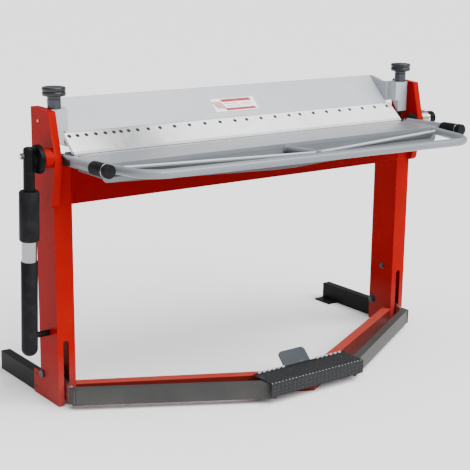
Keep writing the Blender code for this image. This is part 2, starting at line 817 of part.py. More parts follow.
def handle_grip(side_name, side):
    """A ribbed rubber grip closed at its front end."""
    name = "handle_grip_" + side_name
    length = GRIP_END - GRIP_START
    matrix = handle_axis(side, True) @ Matrix.Translation((0, 0, GRIP_START))
    bore = HANDLE_RADIUS + GAP
    outer = [(0, length), (GRIP_RADIUS - 0.0022, length), (GRIP_RADIUS, length - 0.0025)]
    outer += [(GRIP_RADIUS, length - 0.018), (GRIP_RADIUS - 0.0012, length - 0.019)]
    ribs = 4
    for rib in range(ribs):
        top = length - 0.019 - rib * 0.015
        outer += [(GRIP_RADIUS - 0.0012, top - 0.003), (GRIP_RADIUS, top - 0.004)]
        outer += [(GRIP_RADIUS, top - 0.014), (GRIP_RADIUS - 0.0012, top - 0.015)]
    outer += [(GRIP_RADIUS - 0.0005, 0), (bore, 0), (bore, length - 0.0075), (0, length - 0.0075)]
    return add_part(turned(name, outer, matrix, 24), "black_rubber")


def pivot_shaft(side_name, side):
    """The trunnion from the handle tube out through the cheek, with the lug that welds it to the tube."""
    name = "pivot_shaft_" + side_name
    start, lug = 0.6575, (0.6572, CHEEK_INNER - 0.0006)
    end = DISC_OUTER if side < 0 else COLLAR_OUTER
    obj = side_rod(name, side, (start, end), 0, 0, SHAFT_RADIUS, 32)
    low, high = span(side, *lug)
    outline = []
    for step in range(9):
        angle = math.radians(-30 + 180 * step / 8)
        outline.append((0.021 * math.cos(angle), 0.021 * math.sin(angle)))
    outline += [(-0.060, -0.004), (-0.060, -0.016), (-0.010, -0.021)]
    weld_x = (HANDLE_X + HANDLE_RADIUS + GAP, lug[0] + 0.001)
    weld = side_box(name + "_weld", side, weld_x, (-0.058, -0.004), (-0.0145, -0.0005))
    join(obj, section(name + "_lug", outline, low, high), weld)
    return add_part(obj, "dark_steel")


def hub_disc(side_name, side):
    """The part keyed to the trunnion's outer end: a wide disc on the left, a small collar on the right."""
    name = "hub_disc_" + side_name
    turn = Matrix.Rotation(side * math.pi / 2, 4, "Y")
    if side < 0:
        inner, outer, radius = DISC_INNER, DISC_OUTER, DISC_RADIUS
    else:
        inner, outer, radius = COLLAR_INNER, COLLAR_OUTER, COLLAR_RADIUS
    matrix = Matrix.Translation((side * inner, 0, 0)) @ turn
    thick = outer - inner
    bore = SHAFT_RADIUS + GAP
    profile = ((bore, thick), (radius - 0.003, thick), (radius, thick - 0.003), (radius, 0.002),
               (radius - 0.002, 0), (bore, 0))
    return add_part(turned(name, profile, matrix, 40), "black_paint")


# ---- swing lever -------------------------------------------------------------------------------------


def lever_matrix():
    return Matrix.Translation((LEVER_X, 0, 0)) @ Matrix.Rotation(LEVER_LEAN, 4, "X")


def lever_arm():
    """The round bar clamped to the left hub disc."""
    radius = ARM_RADIUS
    profile = ((0, 0.034), (radius - 0.004, 0.034), (radius, 0.030), (radius, -0.110), (0, -0.110))
    obj = turned("lever_arm", profile, lever_matrix(), 24)
    hole = rod("lever_arm_hole", (LEVER_X - 0.03, 0.0, 0.012), (LEVER_X + 0.03, 0.0, 0.012), 0.0053, 20)
    return add_part(cut(obj, hole), "black_paint")


def lever_bolt():
    """The screw that clamps the lever arm to the disc."""
    near = LEVER_X - ARM_RADIUS
    obj = rod("lever_bolt", (DISC_OUTER * -1 - GAP, 0, 0.012), (near - 0.0020, 0, 0.012), 0.005, 20)
    head = rod("lever_bolt_head", (near - 0.0006, 0, 0.012), (near - 0.0075, 0, 0.012), 0.0085, 20)
    return add_part(join(obj, head), "dark_steel")


def lever_socket():
    """The thick sleeve joining the arm to the lever tube."""
    top, bottom = -0.083, -0.219
    radius, bore, seat = SOCKET_RADIUS, ARM_RADIUS + 0.0004, LEVER_TUBE_RADIUS + 0.0003
    profile = ((bore, top), (radius - 0.0025, top), (radius, top - 0.003), (radius, bottom + 0.003),
               (radius - 0.0015, bottom), (seat, bottom), (seat, -0.150), (bore, -0.150))
    return add_part(turned("lever_socket", profile, lever_matrix(), 32), "black_rubber")


def lever_tube():
    """The plated tube between the socket and the grip."""
    top, bottom, radius = -0.152, -0.500, LEVER_TUBE_RADIUS
    profile = ((radius - 0.003, top), (radius, top), (radius, bottom), (radius - 0.003, bottom))
    return add_part(turned("lever_tube", profile, lever_matrix(), 32), "chrome_plate")


def lever_grip():
    """The long black grip with a domed end."""
    top, bottom, radius, bore = -0.277, -0.550, LEVER_GRIP_RADIUS, LEVER_TUBE_RADIUS + 0.0003
    profile = [(bore, top), (radius - 0.001, top), (radius, top - 0.001)]
    for step in range(9):
        angle = math.pi / 2 * step / 8
        profile.append((radius * math.cos(angle), bottom + radius - radius * math.sin(angle)))
    profile[-1] = (0, bottom)
    profile += [(0, -0.5003), (bore, -0.5003)]
    return add_part(turned("lever_grip", profile, lever_matrix(), 32), "black_rubber")


# ---- pedal -------------------------------------------------------------------------------------------

def arm_front(x):
    """Depth of a pedal arm's front face at a distance from the middle."""
    return -0.042 + ARM_SLOPE * (abs(x) - 0.637)


def arm_outline(side, x_near, x_far, inset=0.0):
    skin = inset * math.sqrt(1 + ARM_SLOPE**2)
    return [
        (side * x_near, arm_front(x_near) + skin),
        (side * x_far, arm_front(x_far) + skin),
        (side * x_far, arm_front(x_far) + ARM_DEPTH - skin),
        (side * x_near, arm_front(x_near) + ARM_DEPTH - skin),
    ]


def pedal_arm(side_name, side):
    """A rectangular tube from the lever in the column's slot to the end of the pedal."""
    name = "pedal_arm_" + side_name
    near, far = 0.150, ARM_END
    obj = slab(name, arm_outline(side, near, far), ARM_BOTTOM, ARM_TOP)
    wall = 0.0025
    inside = arm_outline(side, near - 0.01, far + 0.01, wall)
    hollow = slab(name + "_hollow", inside, ARM_BOTTOM + wall, ARM_TOP - wall)
    return add_part(cut(obj, hollow), "dark_grey_paint")


def arm_cap(side_name, side):
    """The plug that closes the outer end of the arm."""
    low, high = span(side, ARM_END + GAP, 0.6500)
    front = arm_front(ARM_END)
    obj = box("arm_cap_" + side_name, (low, front, ARM_BOTTOM), (high, front + ARM_DEPTH, ARM_TOP))
    return add_part(obj, "dark_grey_paint")


def pedal_lever(side_name, side):
    """The plate through the column's slot: pivot eye, rod hole and the weld to the arm."""
    name = "pedal_lever_" + side_name
    half = 0.006
    low, high = span(side, ROD_X - half, ROD_X + half)
    rear_of_arm = arm_front(ARM_END) + ARM_DEPTH + GAP
    eye = 0.0125
    outline = [(rear_of_arm, ARM_BOTTOM), (rear_of_arm, -0.6495), (0.028, -0.637)]
    for step in range(9):
        angle = math.radians(90 - 180 * step / 8)
        outline.append((PIVOT_Y + eye * math.cos(angle), PIVOT_Z + eye * math.sin(angle)))
    outline += [(0.070, -0.664), (0.030, ARM_BOTTOM)]
    obj = section(name, outline, low, high)
    through = (ROD_X - 0.02, ROD_X + 0.02)
    eye_hole = side_rod(name + "_eye", side, through, PIVOT_Y, PIVOT_Z, 0.00835)
    rod_hole = side_rod(name + "_rod_hole", side, through, ROD_Y, PIN_Z, 0.0066)
    return add_part(cut(obj, eye_hole, rod_hole), "dark_steel")


def pedal_plate():
    """The tread plate: flat top, deep front flange and a short upturned back edge, with two hinge ears."""
    front, rear = -0.322, -0.236
    thick = 0.0027
    top = PEDAL_TOP
    drop = top - 0.041
    lift = top + 0.0035
    outline = (
        (front, drop),
        (front, top),
        (rear - thick, top),
        (rear - thick, lift),
        (rear, lift),
        (rear, top - thick),
        (front + thick, top - thick),
        (front + thick, drop),
    )
    obj = section("pedal_plate", outline, -PEDAL_HALF, PEDAL_HALF)
    ears = [
        section(
            "pedal_plate_ear_" + name,
            (
                (rear - 0.0022, top - 0.001),
                (rear - 0.0003, top - 0.001),
                (rear + 0.016, top - 0.012),
                (rear + 0.016, top - 0.026),
                (rear + 0.005, top - 0.026),
            ),
            *span(side, 0.054, 0.060),
        )
        for name, side in SIDES
    ]
    pin = rod("pedal_plate_pin", (-0.064, LATCH_Y, LATCH_Z), (0.064, LATCH_Y, LATCH_Z), 0.004, 20)
    return add_part(join(obj, *ears, pin), "black_paint")


def release_latch():
    """The tipped foot tab on the pin, with a hook below that turns in under the striker."""
    thick = 0.004
    half = 0.050
    corner = 0.014
    tilt = math.radians(45)
    length = 0.050
    outline = [(-half, 0), (half, 0)]
    for centre, first in ((half - corner, 0), (-half + corner, 90)):
        for step in range(6):
            angle = math.radians(first + 18 * step)
            outline.append((centre + corner * math.cos(angle), length - corner + corner * math.sin(angle)))
    lean = Matrix.Rotation(math.radians(90) - tilt, 4, "X")
    matrix = Matrix.Translation((0, LATCH_Y + 0.004, LATCH_Z + 0.013)) @ lean
    obj = flat_outline("release_latch", outline, thick, matrix)
    boss = rod("release_latch_boss", (-half, LATCH_Y, LATCH_Z), (half, LATCH_Y, LATCH_Z), 0.0080, 24)
    neck_low = (-half, LATCH_Y - 0.0005, LATCH_Z + 0.004)
    neck_high = (half, LATCH_Y + 0.0060, LATCH_Z + 0.0165)
    neck = box("release_latch_neck", neck_low, neck_high)
    shank_outline = (
        (LATCH_Y - 0.003, LATCH_Z - 0.003),
        (LATCH_Y - 0.003, HOOK_BOTTOM),
        (LATCH_Y + HOOK_REACH, HOOK_BOTTOM),
        (LATCH_Y + HOOK_REACH, HOOK_TOP),
        (LATCH_Y + 0.005, HOOK_TOP),
        (LATCH_Y + 0.005, LATCH_Z - 0.003),
    )
    shank = section("release_latch_shank", shank_outline, -0.018, 0.018)
    bore = rod("release_latch_bore", (-0.07, LATCH_Y, LATCH_Z), (0.07, LATCH_Y, LATCH_Z), 0.00435, 20)
    cut(join(obj, boss, neck, shank), bore)
    return add_part(obj, "grey_paint")


# ---- assembly ----------------------------------------------------------------------------------------

clear_scene()
PARTS = new_collection("sheet_metal_brake")
HELPERS = new_collection("helpers")
HELPERS.hide_render = True
FRAME = bpy.data.objects.new("brake_frame", None)
FRAME.location = (-CENTRE_X, -CENTRE_Y, BED_HEIGHT)
PARTS.objects.link(FRAME)

SINGLE_PARTS = (
    cross_beam,
    bed_bar,
    base_frame,
    lever_stop,
    latch_striker,
    clamp_cover,
    clamp_blade,
    clamp_beam,
    label_plate,
    leaf_edge_bar,
    leaf_plate,
    leaf_skirt,
    leaf_brace,
    leaf_strut,
    bow_handle,
    lever_arm,
    lever_bolt,
    lever_socket,
    lever_tube,
    lever_grip,
    pedal_plate,
    release_latch,
)
PAIRED_PARTS = (
    column,
    cheek,
    bearing_bush,
    foot,
    rod_guide,
    pedal_pivot,
    bracket,
    pull_rod,
    lift_spring,
    knob_stem,
    knob,
    handle_tube,
    tube_cap,
    handle_grip,
    pivot_shaft,
    hub_disc,
    pedal_arm,
    arm_cap,
    pedal_lever,
)

for build in SINGLE_PARTS:
    build()
for build in PAIRED_PARTS:
    for side_label, side_sign in SIDES:
        build(side_label, side_sign)
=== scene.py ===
"""Looks of a foot-operated sheet metal brake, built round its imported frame.

Lengths are in metres. Sizes inside the classes are counted from the middle of the bending line: X to the
operator's right, Y away from the operator, Z up. Datum turns them into places in the frame.
"""
from __future__ import annotations

import logging
import math
from dataclasses import dataclass, field
from enum import Enum
from typing import Any, Callable, Sequence

import bmesh
import bpy
import numpy as np
from mathutils import Matrix, Vector


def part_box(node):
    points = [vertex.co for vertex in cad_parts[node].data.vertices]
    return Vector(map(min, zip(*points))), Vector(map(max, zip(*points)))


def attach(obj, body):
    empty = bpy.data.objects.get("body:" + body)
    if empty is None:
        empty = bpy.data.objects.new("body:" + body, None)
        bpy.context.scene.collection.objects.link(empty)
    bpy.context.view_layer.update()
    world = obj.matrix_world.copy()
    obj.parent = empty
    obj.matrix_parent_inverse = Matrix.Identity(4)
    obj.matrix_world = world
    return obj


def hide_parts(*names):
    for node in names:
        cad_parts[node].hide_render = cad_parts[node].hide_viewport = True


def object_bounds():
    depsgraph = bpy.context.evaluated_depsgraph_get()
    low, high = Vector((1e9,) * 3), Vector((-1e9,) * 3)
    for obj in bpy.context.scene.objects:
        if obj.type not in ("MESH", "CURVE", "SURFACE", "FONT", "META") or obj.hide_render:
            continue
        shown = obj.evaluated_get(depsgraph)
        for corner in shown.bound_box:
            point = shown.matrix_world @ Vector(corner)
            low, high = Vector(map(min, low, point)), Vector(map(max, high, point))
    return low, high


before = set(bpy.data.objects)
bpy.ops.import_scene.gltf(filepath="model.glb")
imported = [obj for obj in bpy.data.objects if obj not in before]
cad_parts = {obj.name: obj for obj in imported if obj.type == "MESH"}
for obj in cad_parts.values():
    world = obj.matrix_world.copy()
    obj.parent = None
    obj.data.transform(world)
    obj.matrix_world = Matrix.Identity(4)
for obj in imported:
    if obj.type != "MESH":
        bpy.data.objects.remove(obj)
CAD_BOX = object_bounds()
LOG = logging.getLogger("brake")
Colour = tuple[float, float, float]
Point = Sequence[float]


class Side(Enum):
    """The two ends of the machine, by the sign of X."""

    LEFT = -1
    RIGHT = 1

    @property
    def word(self) -> str:
        """The side's name as the CAD nodes spell it."""
        return self.name.lower()


class Body(Enum):
    """The bodies that pieces ride on."""

    STAND = "stand"
    CLAMP = "clamp"
    LEAF = "leaf"
    PEDAL = "pedal"
    LATCH = "latch"
    LEFT_KNOB = "left_knob"
    RIGHT_KNOB = "right_knob"


class Datum:
    """The middle of the bending line in the frame, read from the bed bar and the leaf's edge bar."""

    def __init__(self) -> None:
        """Finds the datum from the two bars' boxes."""
        bed_low, bed_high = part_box("bed_bar")
        edge_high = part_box("leaf_edge_bar")[1]
        self.point = np.array([(bed_low.x + bed_high.x) / 2, edge_high.y + 0.0006, edge_high.z + 0.0003])

    def place(self, points: np.ndarray | Point) -> np.ndarray:
        """Moves local points to their place in the frame.

        Args:
            points: One point or an array of points, counted from the bending line.

        Returns:
            The same points in the frame.
        """
        return np.asarray(points, float) + self.point


DATUM = Datum()


# ---- shader building ---------------------------------------------------------------------------------


class Value:
    """A value socket that takes part in arithmetic: each operator adds one Math node."""

    def __init__(self, recipe: Recipe, socket: bpy.types.NodeSocket) -> None:
        """Keeps the socket with the recipe that it belongs to."""
        self.recipe = recipe
        self.socket = socket

    def _math(self, operation: str, first: Any, second: Any = 0.0) -> Value:
        """Adds a Math node for first and second, and returns its result."""
        return self.recipe.node("ShaderNodeMath", {"operation": operation}, {0: first, 1: second})

    def __abs__(self) -> Value:
        """The size of the value without its sign."""
        return self._math("ABSOLUTE", self)

    def most(self, other: Any) -> Value:
        """The larger of the two values."""
        return self._math("MAXIMUM", self, other)

    def least(self, other: Any) -> Value:
        """The smaller of the two values."""
        return self._math("MINIMUM", self, other)

    def kept(self) -> Value:
        """The value held between 0 and 1."""
        return self.most(0.0).least(1.0)

    def sine(self) -> Value:
        """The sine of the value, in radians."""
        return self._math("SINE", self)

    def between(self, low: float, high: float) -> Value:
        """1 where the value lies between low and high, and 0 elsewhere."""
        return (self > low) * (self < high)


def value_operator(operation: str, swapped: bool) -> Callable[[Value, Any], Value]:
    """Makes one of the operators of Value.

    Args:
        operation: The Math node's operation.
        swapped: True for a reflected form, whose second operand comes first.

    Returns:
        The operator's method.
    """

    def method(self: Value, other: Any) -> Value:
        """Adds the Math node."""
        first, second = (other, self) if swapped else (self, other)
        return self._math(operation, first, second)

    return method


for word, kind in (("add", "ADD"), ("sub", "SUBTRACT"), ("mul", "MULTIPLY"), ("truediv", "DIVIDE")):
    setattr(Value, f"__{word}__", value_operator(kind, False))
    setattr(Value, f"__r{word}__", value_operator(kind, True))
setattr(Value, "__gt__", value_operator("GREATER_THAN", False))
setattr(Value, "__lt__", value_operator("LESS_THAN", False))


class Recipe:
    """One material being mixed: a node tree that ends in a Principled shader."""

    def __init__(self, name: str) -> None:
        """Starts a material with only its output and its shader."""
        self.material = bpy.data.materials.new(name)
        self.material.use_nodes = True
        self.tree = self.material.node_tree
        self.shader = self.tree.nodes["Principled BSDF"]

    def node(self, kind: str, settings: dict[str, Any], inputs: dict[Any, Any], output: int = 0) -> Value:
        """Adds any node.

        Args:
            kind: The node's type name.
            settings: Its properties; "stops" gives a ramp's (position, colour) pairs.
            inputs: A value, colour, vector or Value for each named or numbered socket.
            output: The number of the output to return.

        Returns:
            The chosen output.
        """
        node = self.tree.nodes.new(kind)
        for name, setting in settings.items():
            if name == "stops":
                self._set_stops(node.color_ramp, setting)
            else:
                setattr(node, name, setting)
        for key, given in inputs.items():
            if isinstance(given, Value):
                self.tree.links.new(given.socket, node.inputs[key])
            else:
                node.inputs[key].default_value = given
        return Value(self, node.outputs[output])

    @staticmethod
    def _set_stops(ramp: bpy.types.ColorRamp, stops: Sequence[tuple[float, Colour]]) -> None:
        """Gives a ramp its stops."""
        while len(ramp.elements) < len(stops):
            ramp.elements.new(1.0)
        for element, (place, colour) in zip(ramp.elements, stops):
            element.position = place
            element.color = (*colour, 1.0)

    def place(self) -> Value:
        """The point on the object, in the frame."""
        return self.node("ShaderNodeTexCoord", {}, {}, 3)

    def axes(self) -> tuple[Value, Value, Value]:
        """The point's x, y and z, counted from the bending line."""
        node = self.tree.nodes.new("ShaderNodeSeparateXYZ")
        self.tree.links.new(self.place().socket, node.inputs[0])
        return tuple(Value(self, node.outputs[i]) - float(DATUM.point[i]) for i in range(3))

    def stretched(self, scale: Colour) -> Value:
        """The point with each axis multiplied, for streaks."""
        return self.node("ShaderNodeMapping", {}, {"Vector": self.place(), "Scale": scale})

    def noise(self, place: Value, scale: float, detail: float = 2.0) -> Value:
        """Soft noise between 0 and 1, mostly near 0.5."""
        return self.node("ShaderNodeTexNoise", {}, {"Vector": place, "Scale": scale, "Detail": detail})

    def blend(self, share: Value, first: Any, second: Any) -> Value:
        """Mixes two colours.

        Args:
            share: 0 for the first colour and 1 for the second.
            first: A colour, or a Value that carries one.
            second: A colour, or a Value that carries one.

        Returns:
            The mixed colour.
        """
        ends = [(*c, 1.0) if isinstance(c, tuple) else c for c in (first, second)]
        mixed = {0: share, 6: ends[0], 7: ends[1]}
        return self.node("ShaderNodeMix", {"data_type": "RGBA", "clamp_factor": True}, mixed, 2)

    def finish(self, links: dict[str, Value], constants: dict[str, Any], bump: Value, depth: float) -> None:
        """Joins the patterns to the shader.

        Args:
            links: The patterns of varying sockets, such as Base Color and Roughness.
            constants: The sockets that are the same all over.
            bump: A height between 0 and 1.
            depth: The bump's distance in metres.
        """
        for name, number in constants.items():
            self.shader.inputs[name].default_value = number
        for name, link in links.items():
            self.tree.links.new(link.socket, self.shader.inputs[name])
        normal = self.node("ShaderNodeBump", {}, {"Strength": 1.0, "Distance": depth, "Height": bump})
        self.tree.links.new(normal.socket, self.shader.inputs["Normal"])


# ---- finishes ----------------------------------------------------------------------------------------


@dataclass(frozen=True)
class Finish:
    """A surface finish: one material, mixed when it is first asked for."""

    name: str
    slot: str

    def material(self) -> bpy.types.Material:
        """The finish's material.

        Returns:
            The material of this name, mixed once.
        """
        made = bpy.data.materials.get(self.name)
        if made is None:
            recipe = Recipe(self.name)
            self.mix(recipe)
            made = recipe.material
        return made

    def mix(self, recipe: Recipe) -> None:
        """Fills the recipe. Each kind of finish has its own."""
        raise NotImplementedError


@dataclass(frozen=True)
class PowderCoat(Finish):
    """Baked powder paint: fine orange peel, faint clouds, rub marks, dust low down, and, where asked, painted
    shade below a given height.
    """

    colour: Colour
    deep: Colour
    rub: Colour
    roughness: float = 0.34
    coat: float = 0.20
    dust: float = 0.25
    gloss: float = 0.5
    painted_shade: float = 0.0
    painted_shade_top: float = 0.0
    painted_shade_tone: Colour = (0.030, 0.004, 0.003)

    def mix(self, recipe: Recipe) -> None:
        """Clouds move the tone between colour and deep; thin marks and low dust lie over it."""
        place = recipe.place()
        clouds = recipe.noise(place, 6.0, 3.0)
        grain = recipe.noise(place, 420.0)
        peel = recipe.noise(place, 950.0, 1.0)
        rubs = recipe.noise(recipe.stretched((9.0, 9.0, 60.0)), 2.4, 5.0)
        height = recipe.axes()[2] + float(DATUM.point[2])
        tone = ((clouds - 0.42) * 1.6 + (grain - 0.5) * 0.35).kept()
        marks = ((rubs - 0.66) * 9.0).kept() * 0.30
        dusty = (1.0 - height / 0.16).kept() * (clouds * 1.3).kept() * self.dust
        base = recipe.blend(dusty, recipe.blend(marks, recipe.blend(tone, self.colour, self.deep), self.rub),
                            (0.26, 0.235, 0.21))
        # Painted shade: below the given height the colour is pulled towards a dark tone.
        if self.painted_shade:
            base = recipe.blend((recipe.axes()[2] < self.painted_shade_top) * self.painted_shade, base, self.painted_shade_tone)
        rough = self.roughness + (grain - 0.5) * 0.16 + marks * 0.3 + dusty * 0.5
        constants = {"Coat Weight": self.coat, "Coat Roughness": 0.16, "Specular IOR Level": self.gloss}
        recipe.finish({"Base Color": base, "Roughness": rough}, constants, peel + clouds * 0.5, 0.00009)


@dataclass(frozen=True)
class BareMetal(Finish):
    """Machined, plated or blackened metal, with tool marks along one axis."""

    colour: Colour
    worn: Colour
    roughness: float = 0.30
    metallic: float = 1.0
    stretch: Colour = (40.0, 900.0, 900.0)
    streak: float = 0.35

    def mix(self, recipe: Recipe) -> None:
        """Streaks from stretched noise change the tone and the gloss; small stains darken it."""
        streaks = recipe.noise(recipe.stretched(self.stretch), 1.0, 3.0)
        stains = recipe.noise(recipe.place(), 24.0, 4.0)
        tone = ((streaks - 0.5) * self.streak + (stains - 0.5) * 0.5 + 0.35).kept()
        rough = self.roughness + (streaks - 0.5) * 0.22 + (stains - 0.5) * 0.12
        base = recipe.blend(tone, self.colour, self.worn)
        recipe.finish({"Base Color": base, "Roughness": rough}, {"Metallic": self.metallic}, streaks, 0.00004)


@dataclass(frozen=True)
class GroundFingers(Finish):
    """Surface-ground clamping fingers: cross streaks, a thin seam and a tone for each finger, a dark nose,
    and a darker patch near the left end that is a painted reflection.
    """

    edges: tuple[float, ...]
    slope: float
    nose: float = 0.0098

    def mix(self, recipe: Recipe) -> None:
        """Along the slope s = y cos a + z sin a; each finger k adds its own tone past its edge in x."""
        x, y, z = recipe.axes()
        along = y * math.cos(self.slope) + z * math.sin(self.slope)
        streaks = recipe.noise(recipe.stretched((820.0, 46.0, 46.0)), 1.0, 3.0)
        swirl = recipe.noise(recipe.place(), 9.0, 4.0)
        speckle = recipe.noise(recipe.place(), 330.0, 2.0)
        tone: Any = 0.06
        seams: Any = 0.0
        for number, edge in enumerate(self.edges):
            tone = (x > edge) * (0.045 * math.cos(2.4 * number + 0.6)) + tone
            seams = (abs(x - edge) < 0.00035) + seams
        # Painted reflection: a soft darker patch centred at x = -0.42, copying a dark reflection across the
        # fingers.
        away = (x + 0.420) / 0.120
        painted_reflection = 1.0 / (away * away * away * away + 1.0)
        tone = tone + (streaks - 0.5) * 0.5 + (swirl - 0.5) * 0.7 + painted_reflection * 0.80 + (speckle - 0.5) * 0.3
        face = recipe.blend(tone.kept(), (1.0, 1.0, 1.0), (0.29, 0.295, 0.305))
        dark_nose = (along < self.nose) * 0.62
        base = recipe.blend((seams * 0.35 + dark_nose).kept(), face, (0.30, 0.31, 0.33))
        rough = (0.30 + (streaks - 0.5) * 0.2 + swirl * 0.08 + dark_nose * 0.15).kept()
        recipe.finish({"Base Color": base, "Roughness": rough}, {"Metallic": 0.35}, streaks - seams, 0.00005)


@dataclass(frozen=True)
class Moulded(Finish):
    """Moulded rubber or plastic: fine grain, and grey scuffs where hands rub."""

    colour: Colour
    scuffed: Colour
    roughness: float = 0.55
    grain: float = 1400.0
    depth: float = 0.00012
    gloss: float = 0.08

    def mix(self, recipe: Recipe) -> None:
        """Fine noise makes the grain; a broader one turns the high spots grey."""
        place = recipe.place()
        fine = recipe.noise(place, self.grain, 2.0)
        scuffs = recipe.noise(place, 38.0, 5.0)
        tone = ((scuffs - 0.50) * 2.6 + (fine - 0.5) * 0.5).kept()
        rough = self.roughness + (scuffs - 0.5) * 0.25
        base = recipe.blend(tone, self.colour, self.scuffed)
        constants = {"Specular IOR Level": self.gloss}
        recipe.finish({"Base Color": base, "Roughness": rough}, constants, fine + scuffs * 0.4, self.depth)


@dataclass(frozen=True)
class TreadPaint(Finish):
    """Dark anti-slip paint: coarse grit, with worn bare specks on the high points."""

    colour: Colour
    worn: Colour

    def mix(self, recipe: Recipe) -> None:
        """Coarse and fine noise build the grit; the highest specks shine through as steel."""
        place = recipe.place()
        grit = recipe.noise(place, 420.0, 3.0)
        lumps = recipe.noise(place, 130.0, 3.0)
        height = grit * 0.6 + lumps * 0.6
        specks = ((height - 0.72) * 7.0).kept()
        base = recipe.blend(specks * 0.8, self.colour, self.worn)
        rough = 0.62 - specks * 0.25
        metal = specks * 0.6
        links = {"Base Color": base, "Roughness": rough, "Metallic": metal}
        recipe.finish(links, {"Specular IOR Level": 0.25}, height, 0.0007)


@dataclass(frozen=True)
class LabelFilm(Finish):
    """A white film label with plain coloured bars and no lettering."""

    centre_x: float
    centre_y: float
    centre_z: float

    def mix(self, recipe: Recipe) -> None:
        """u runs along X and v up the 45 degree slope; bars are where u and v lie between limits."""
        x, y, z = recipe.axes()
        u = x - self.centre_x
        v = ((y - self.centre_y) + (z - self.centre_z)) * math.sqrt(0.5)
        slant = u + v * 0.55
        upper = v.between(0.0105, 0.0215) * slant.between(-0.036, 0.074)
        lower = v.between(-0.0215, -0.0125) * slant.between(-0.050, 0.062)
        block = abs(v).most(abs(slant + 0.058) * 0.8) < 0.0135
        lines = v.between(-0.0065, -0.0035).most(v.between(0.0030, 0.0062)) * slant.between(-0.034, 0.016)
        dashes = abs(v) < 0.0062
        dashes = dashes * slant.between(0.024, 0.062) * ((u * 900.0).sine() > -0.2)
        wear = recipe.noise(recipe.place(), 60.0, 4.0)
        base = recipe.blend(upper.most(lower), (0.95, 0.94, 0.94), (0.33, 0.006, 0.020))
        base = recipe.blend(block * 0.70, base, (0.33, 0.020, 0.035))
        base = recipe.blend(lines * 0.75, base, (0.10, 0.10, 0.11))
        base = recipe.blend(dashes * 0.60, base, (0.42, 0.035, 0.050))
        base = recipe.blend(((wear - 0.62) * 4.0).kept() * 0.3, base, (0.66, 0.66, 0.66))
        links = {"Base Color": base, "Roughness": 0.26 + wear * 0.18}
        recipe.finish(links, {"Coat Weight": 0.3}, wear, 0.00003)


@dataclass(frozen=True)
class StudioFloor(Finish):
    """The pale floor under the machine."""

    def mix(self, recipe: Recipe) -> None:
        """Nearly white, with very faint clouds."""
        clouds = recipe.noise(recipe.place(), 1.5, 3.0)
        base = recipe.blend(clouds, (0.97, 0.97, 0.97), (0.95, 0.95, 0.955))
        recipe.finish({"Base Color": base, "Roughness": 0.85 + clouds * 0.05}, {}, clouds, 0.0002)


RED = PowderCoat("red powder coat", "red_paint", (0.30, 0.0016, 0.0016), (0.225, 0.0010, 0.0010),
                 (0.50, 0.06, 0.04), gloss=0.025, coat=0.01)
# The columns' red made darker for the cross beam: painted shade from the leaf above it.
BEAM_SHADED_RED = PowderCoat("beam red, painted shade", "red_paint", (0.200, 0.0009, 0.0014), (0.150, 0.0006, 0.0010),
                      (0.40, 0.05, 0.04), gloss=0.025, coat=0.01)
# A lighter, more orange copy of the red for the lit top of the base: painted light. Its faces below the top
# edge darken towards a dark red: painted shade beside the pedal arms.
BASE_LIT_SHADED_RED = PowderCoat("base red, painted light and shade", "red_paint", (0.36, 0.010, 0.0020), (0.29, 0.0065, 0.0015),
                      (0.50, 0.07, 0.04), gloss=0.05, coat=0.02, painted_shade=0.72, painted_shade_top=-0.6562)
GREY = PowderCoat("light grey powder coat", "grey_paint", (0.43, 0.456, 0.490), (0.37, 0.396, 0.430),
                  (0.62, 0.64, 0.66), roughness=0.30)
# A darker copy of the cover's light grey paint, used on the leaf: painted shade for the leaf's dimmer look.
LEAF_SHADED_GREY = PowderCoat("leaf grey, painted shade", "grey_paint", (0.180, 0.197, 0.217), (0.140, 0.155, 0.172),
                       (0.38, 0.40, 0.42), roughness=0.32, gloss=0.40)
# A copy of the grey paint, darker still than the leaf's, for the leaf's web: painted shade. More than 50 mm
# below the bending line it darkens again: painted shade under the brace.
SKIRT_SHADED_GREY = PowderCoat("leaf skirt grey, painted shade", "grey_paint", (0.155, 0.168, 0.186),
                        (0.120, 0.132, 0.147), (0.30, 0.32, 0.34), roughness=0.36, gloss=0.25, coat=0.05,
                        painted_shade=0.55, painted_shade_top=-0.050, painted_shade_tone=(0.040, 0.043, 0.048))
# Near-black grey for faces that look down: painted shade on the undersides.
UNDERSIDE_SHADE = PowderCoat("underside painted shade", "grey_paint", (0.034, 0.037, 0.041), (0.024, 0.026, 0.030),
                       (0.10, 0.10, 0.11), roughness=0.55, gloss=0.10, coat=0.0)
DARK_GREY = PowderCoat("dark grey paint", "dark_grey_paint", (0.022, 0.025, 0.027), (0.015, 0.017, 0.019),
                       (0.12, 0.12, 0.12), roughness=0.40, gloss=0.10, coat=0.04)
BLACK = PowderCoat("black paint", "black_paint", (0.0045, 0.0045, 0.0055), (0.003, 0.003, 0.0035),
                   (0.04, 0.04, 0.04), roughness=0.34, gloss=0.06, coat=0.02, dust=0.04)
# A pale grey for worn paint on the tread's teeth and the lip's knuckles; on the teeth it is also a painted
# highlight along the fold.
WORN_AND_HIGHLIGHT_GREY = PowderCoat("worn grey paint and painted highlight", "dark_grey_paint", (0.30, 0.32, 0.33), (0.20, 0.21, 0.22),
                       (0.55, 0.55, 0.55), roughness=0.34, dust=0.1)
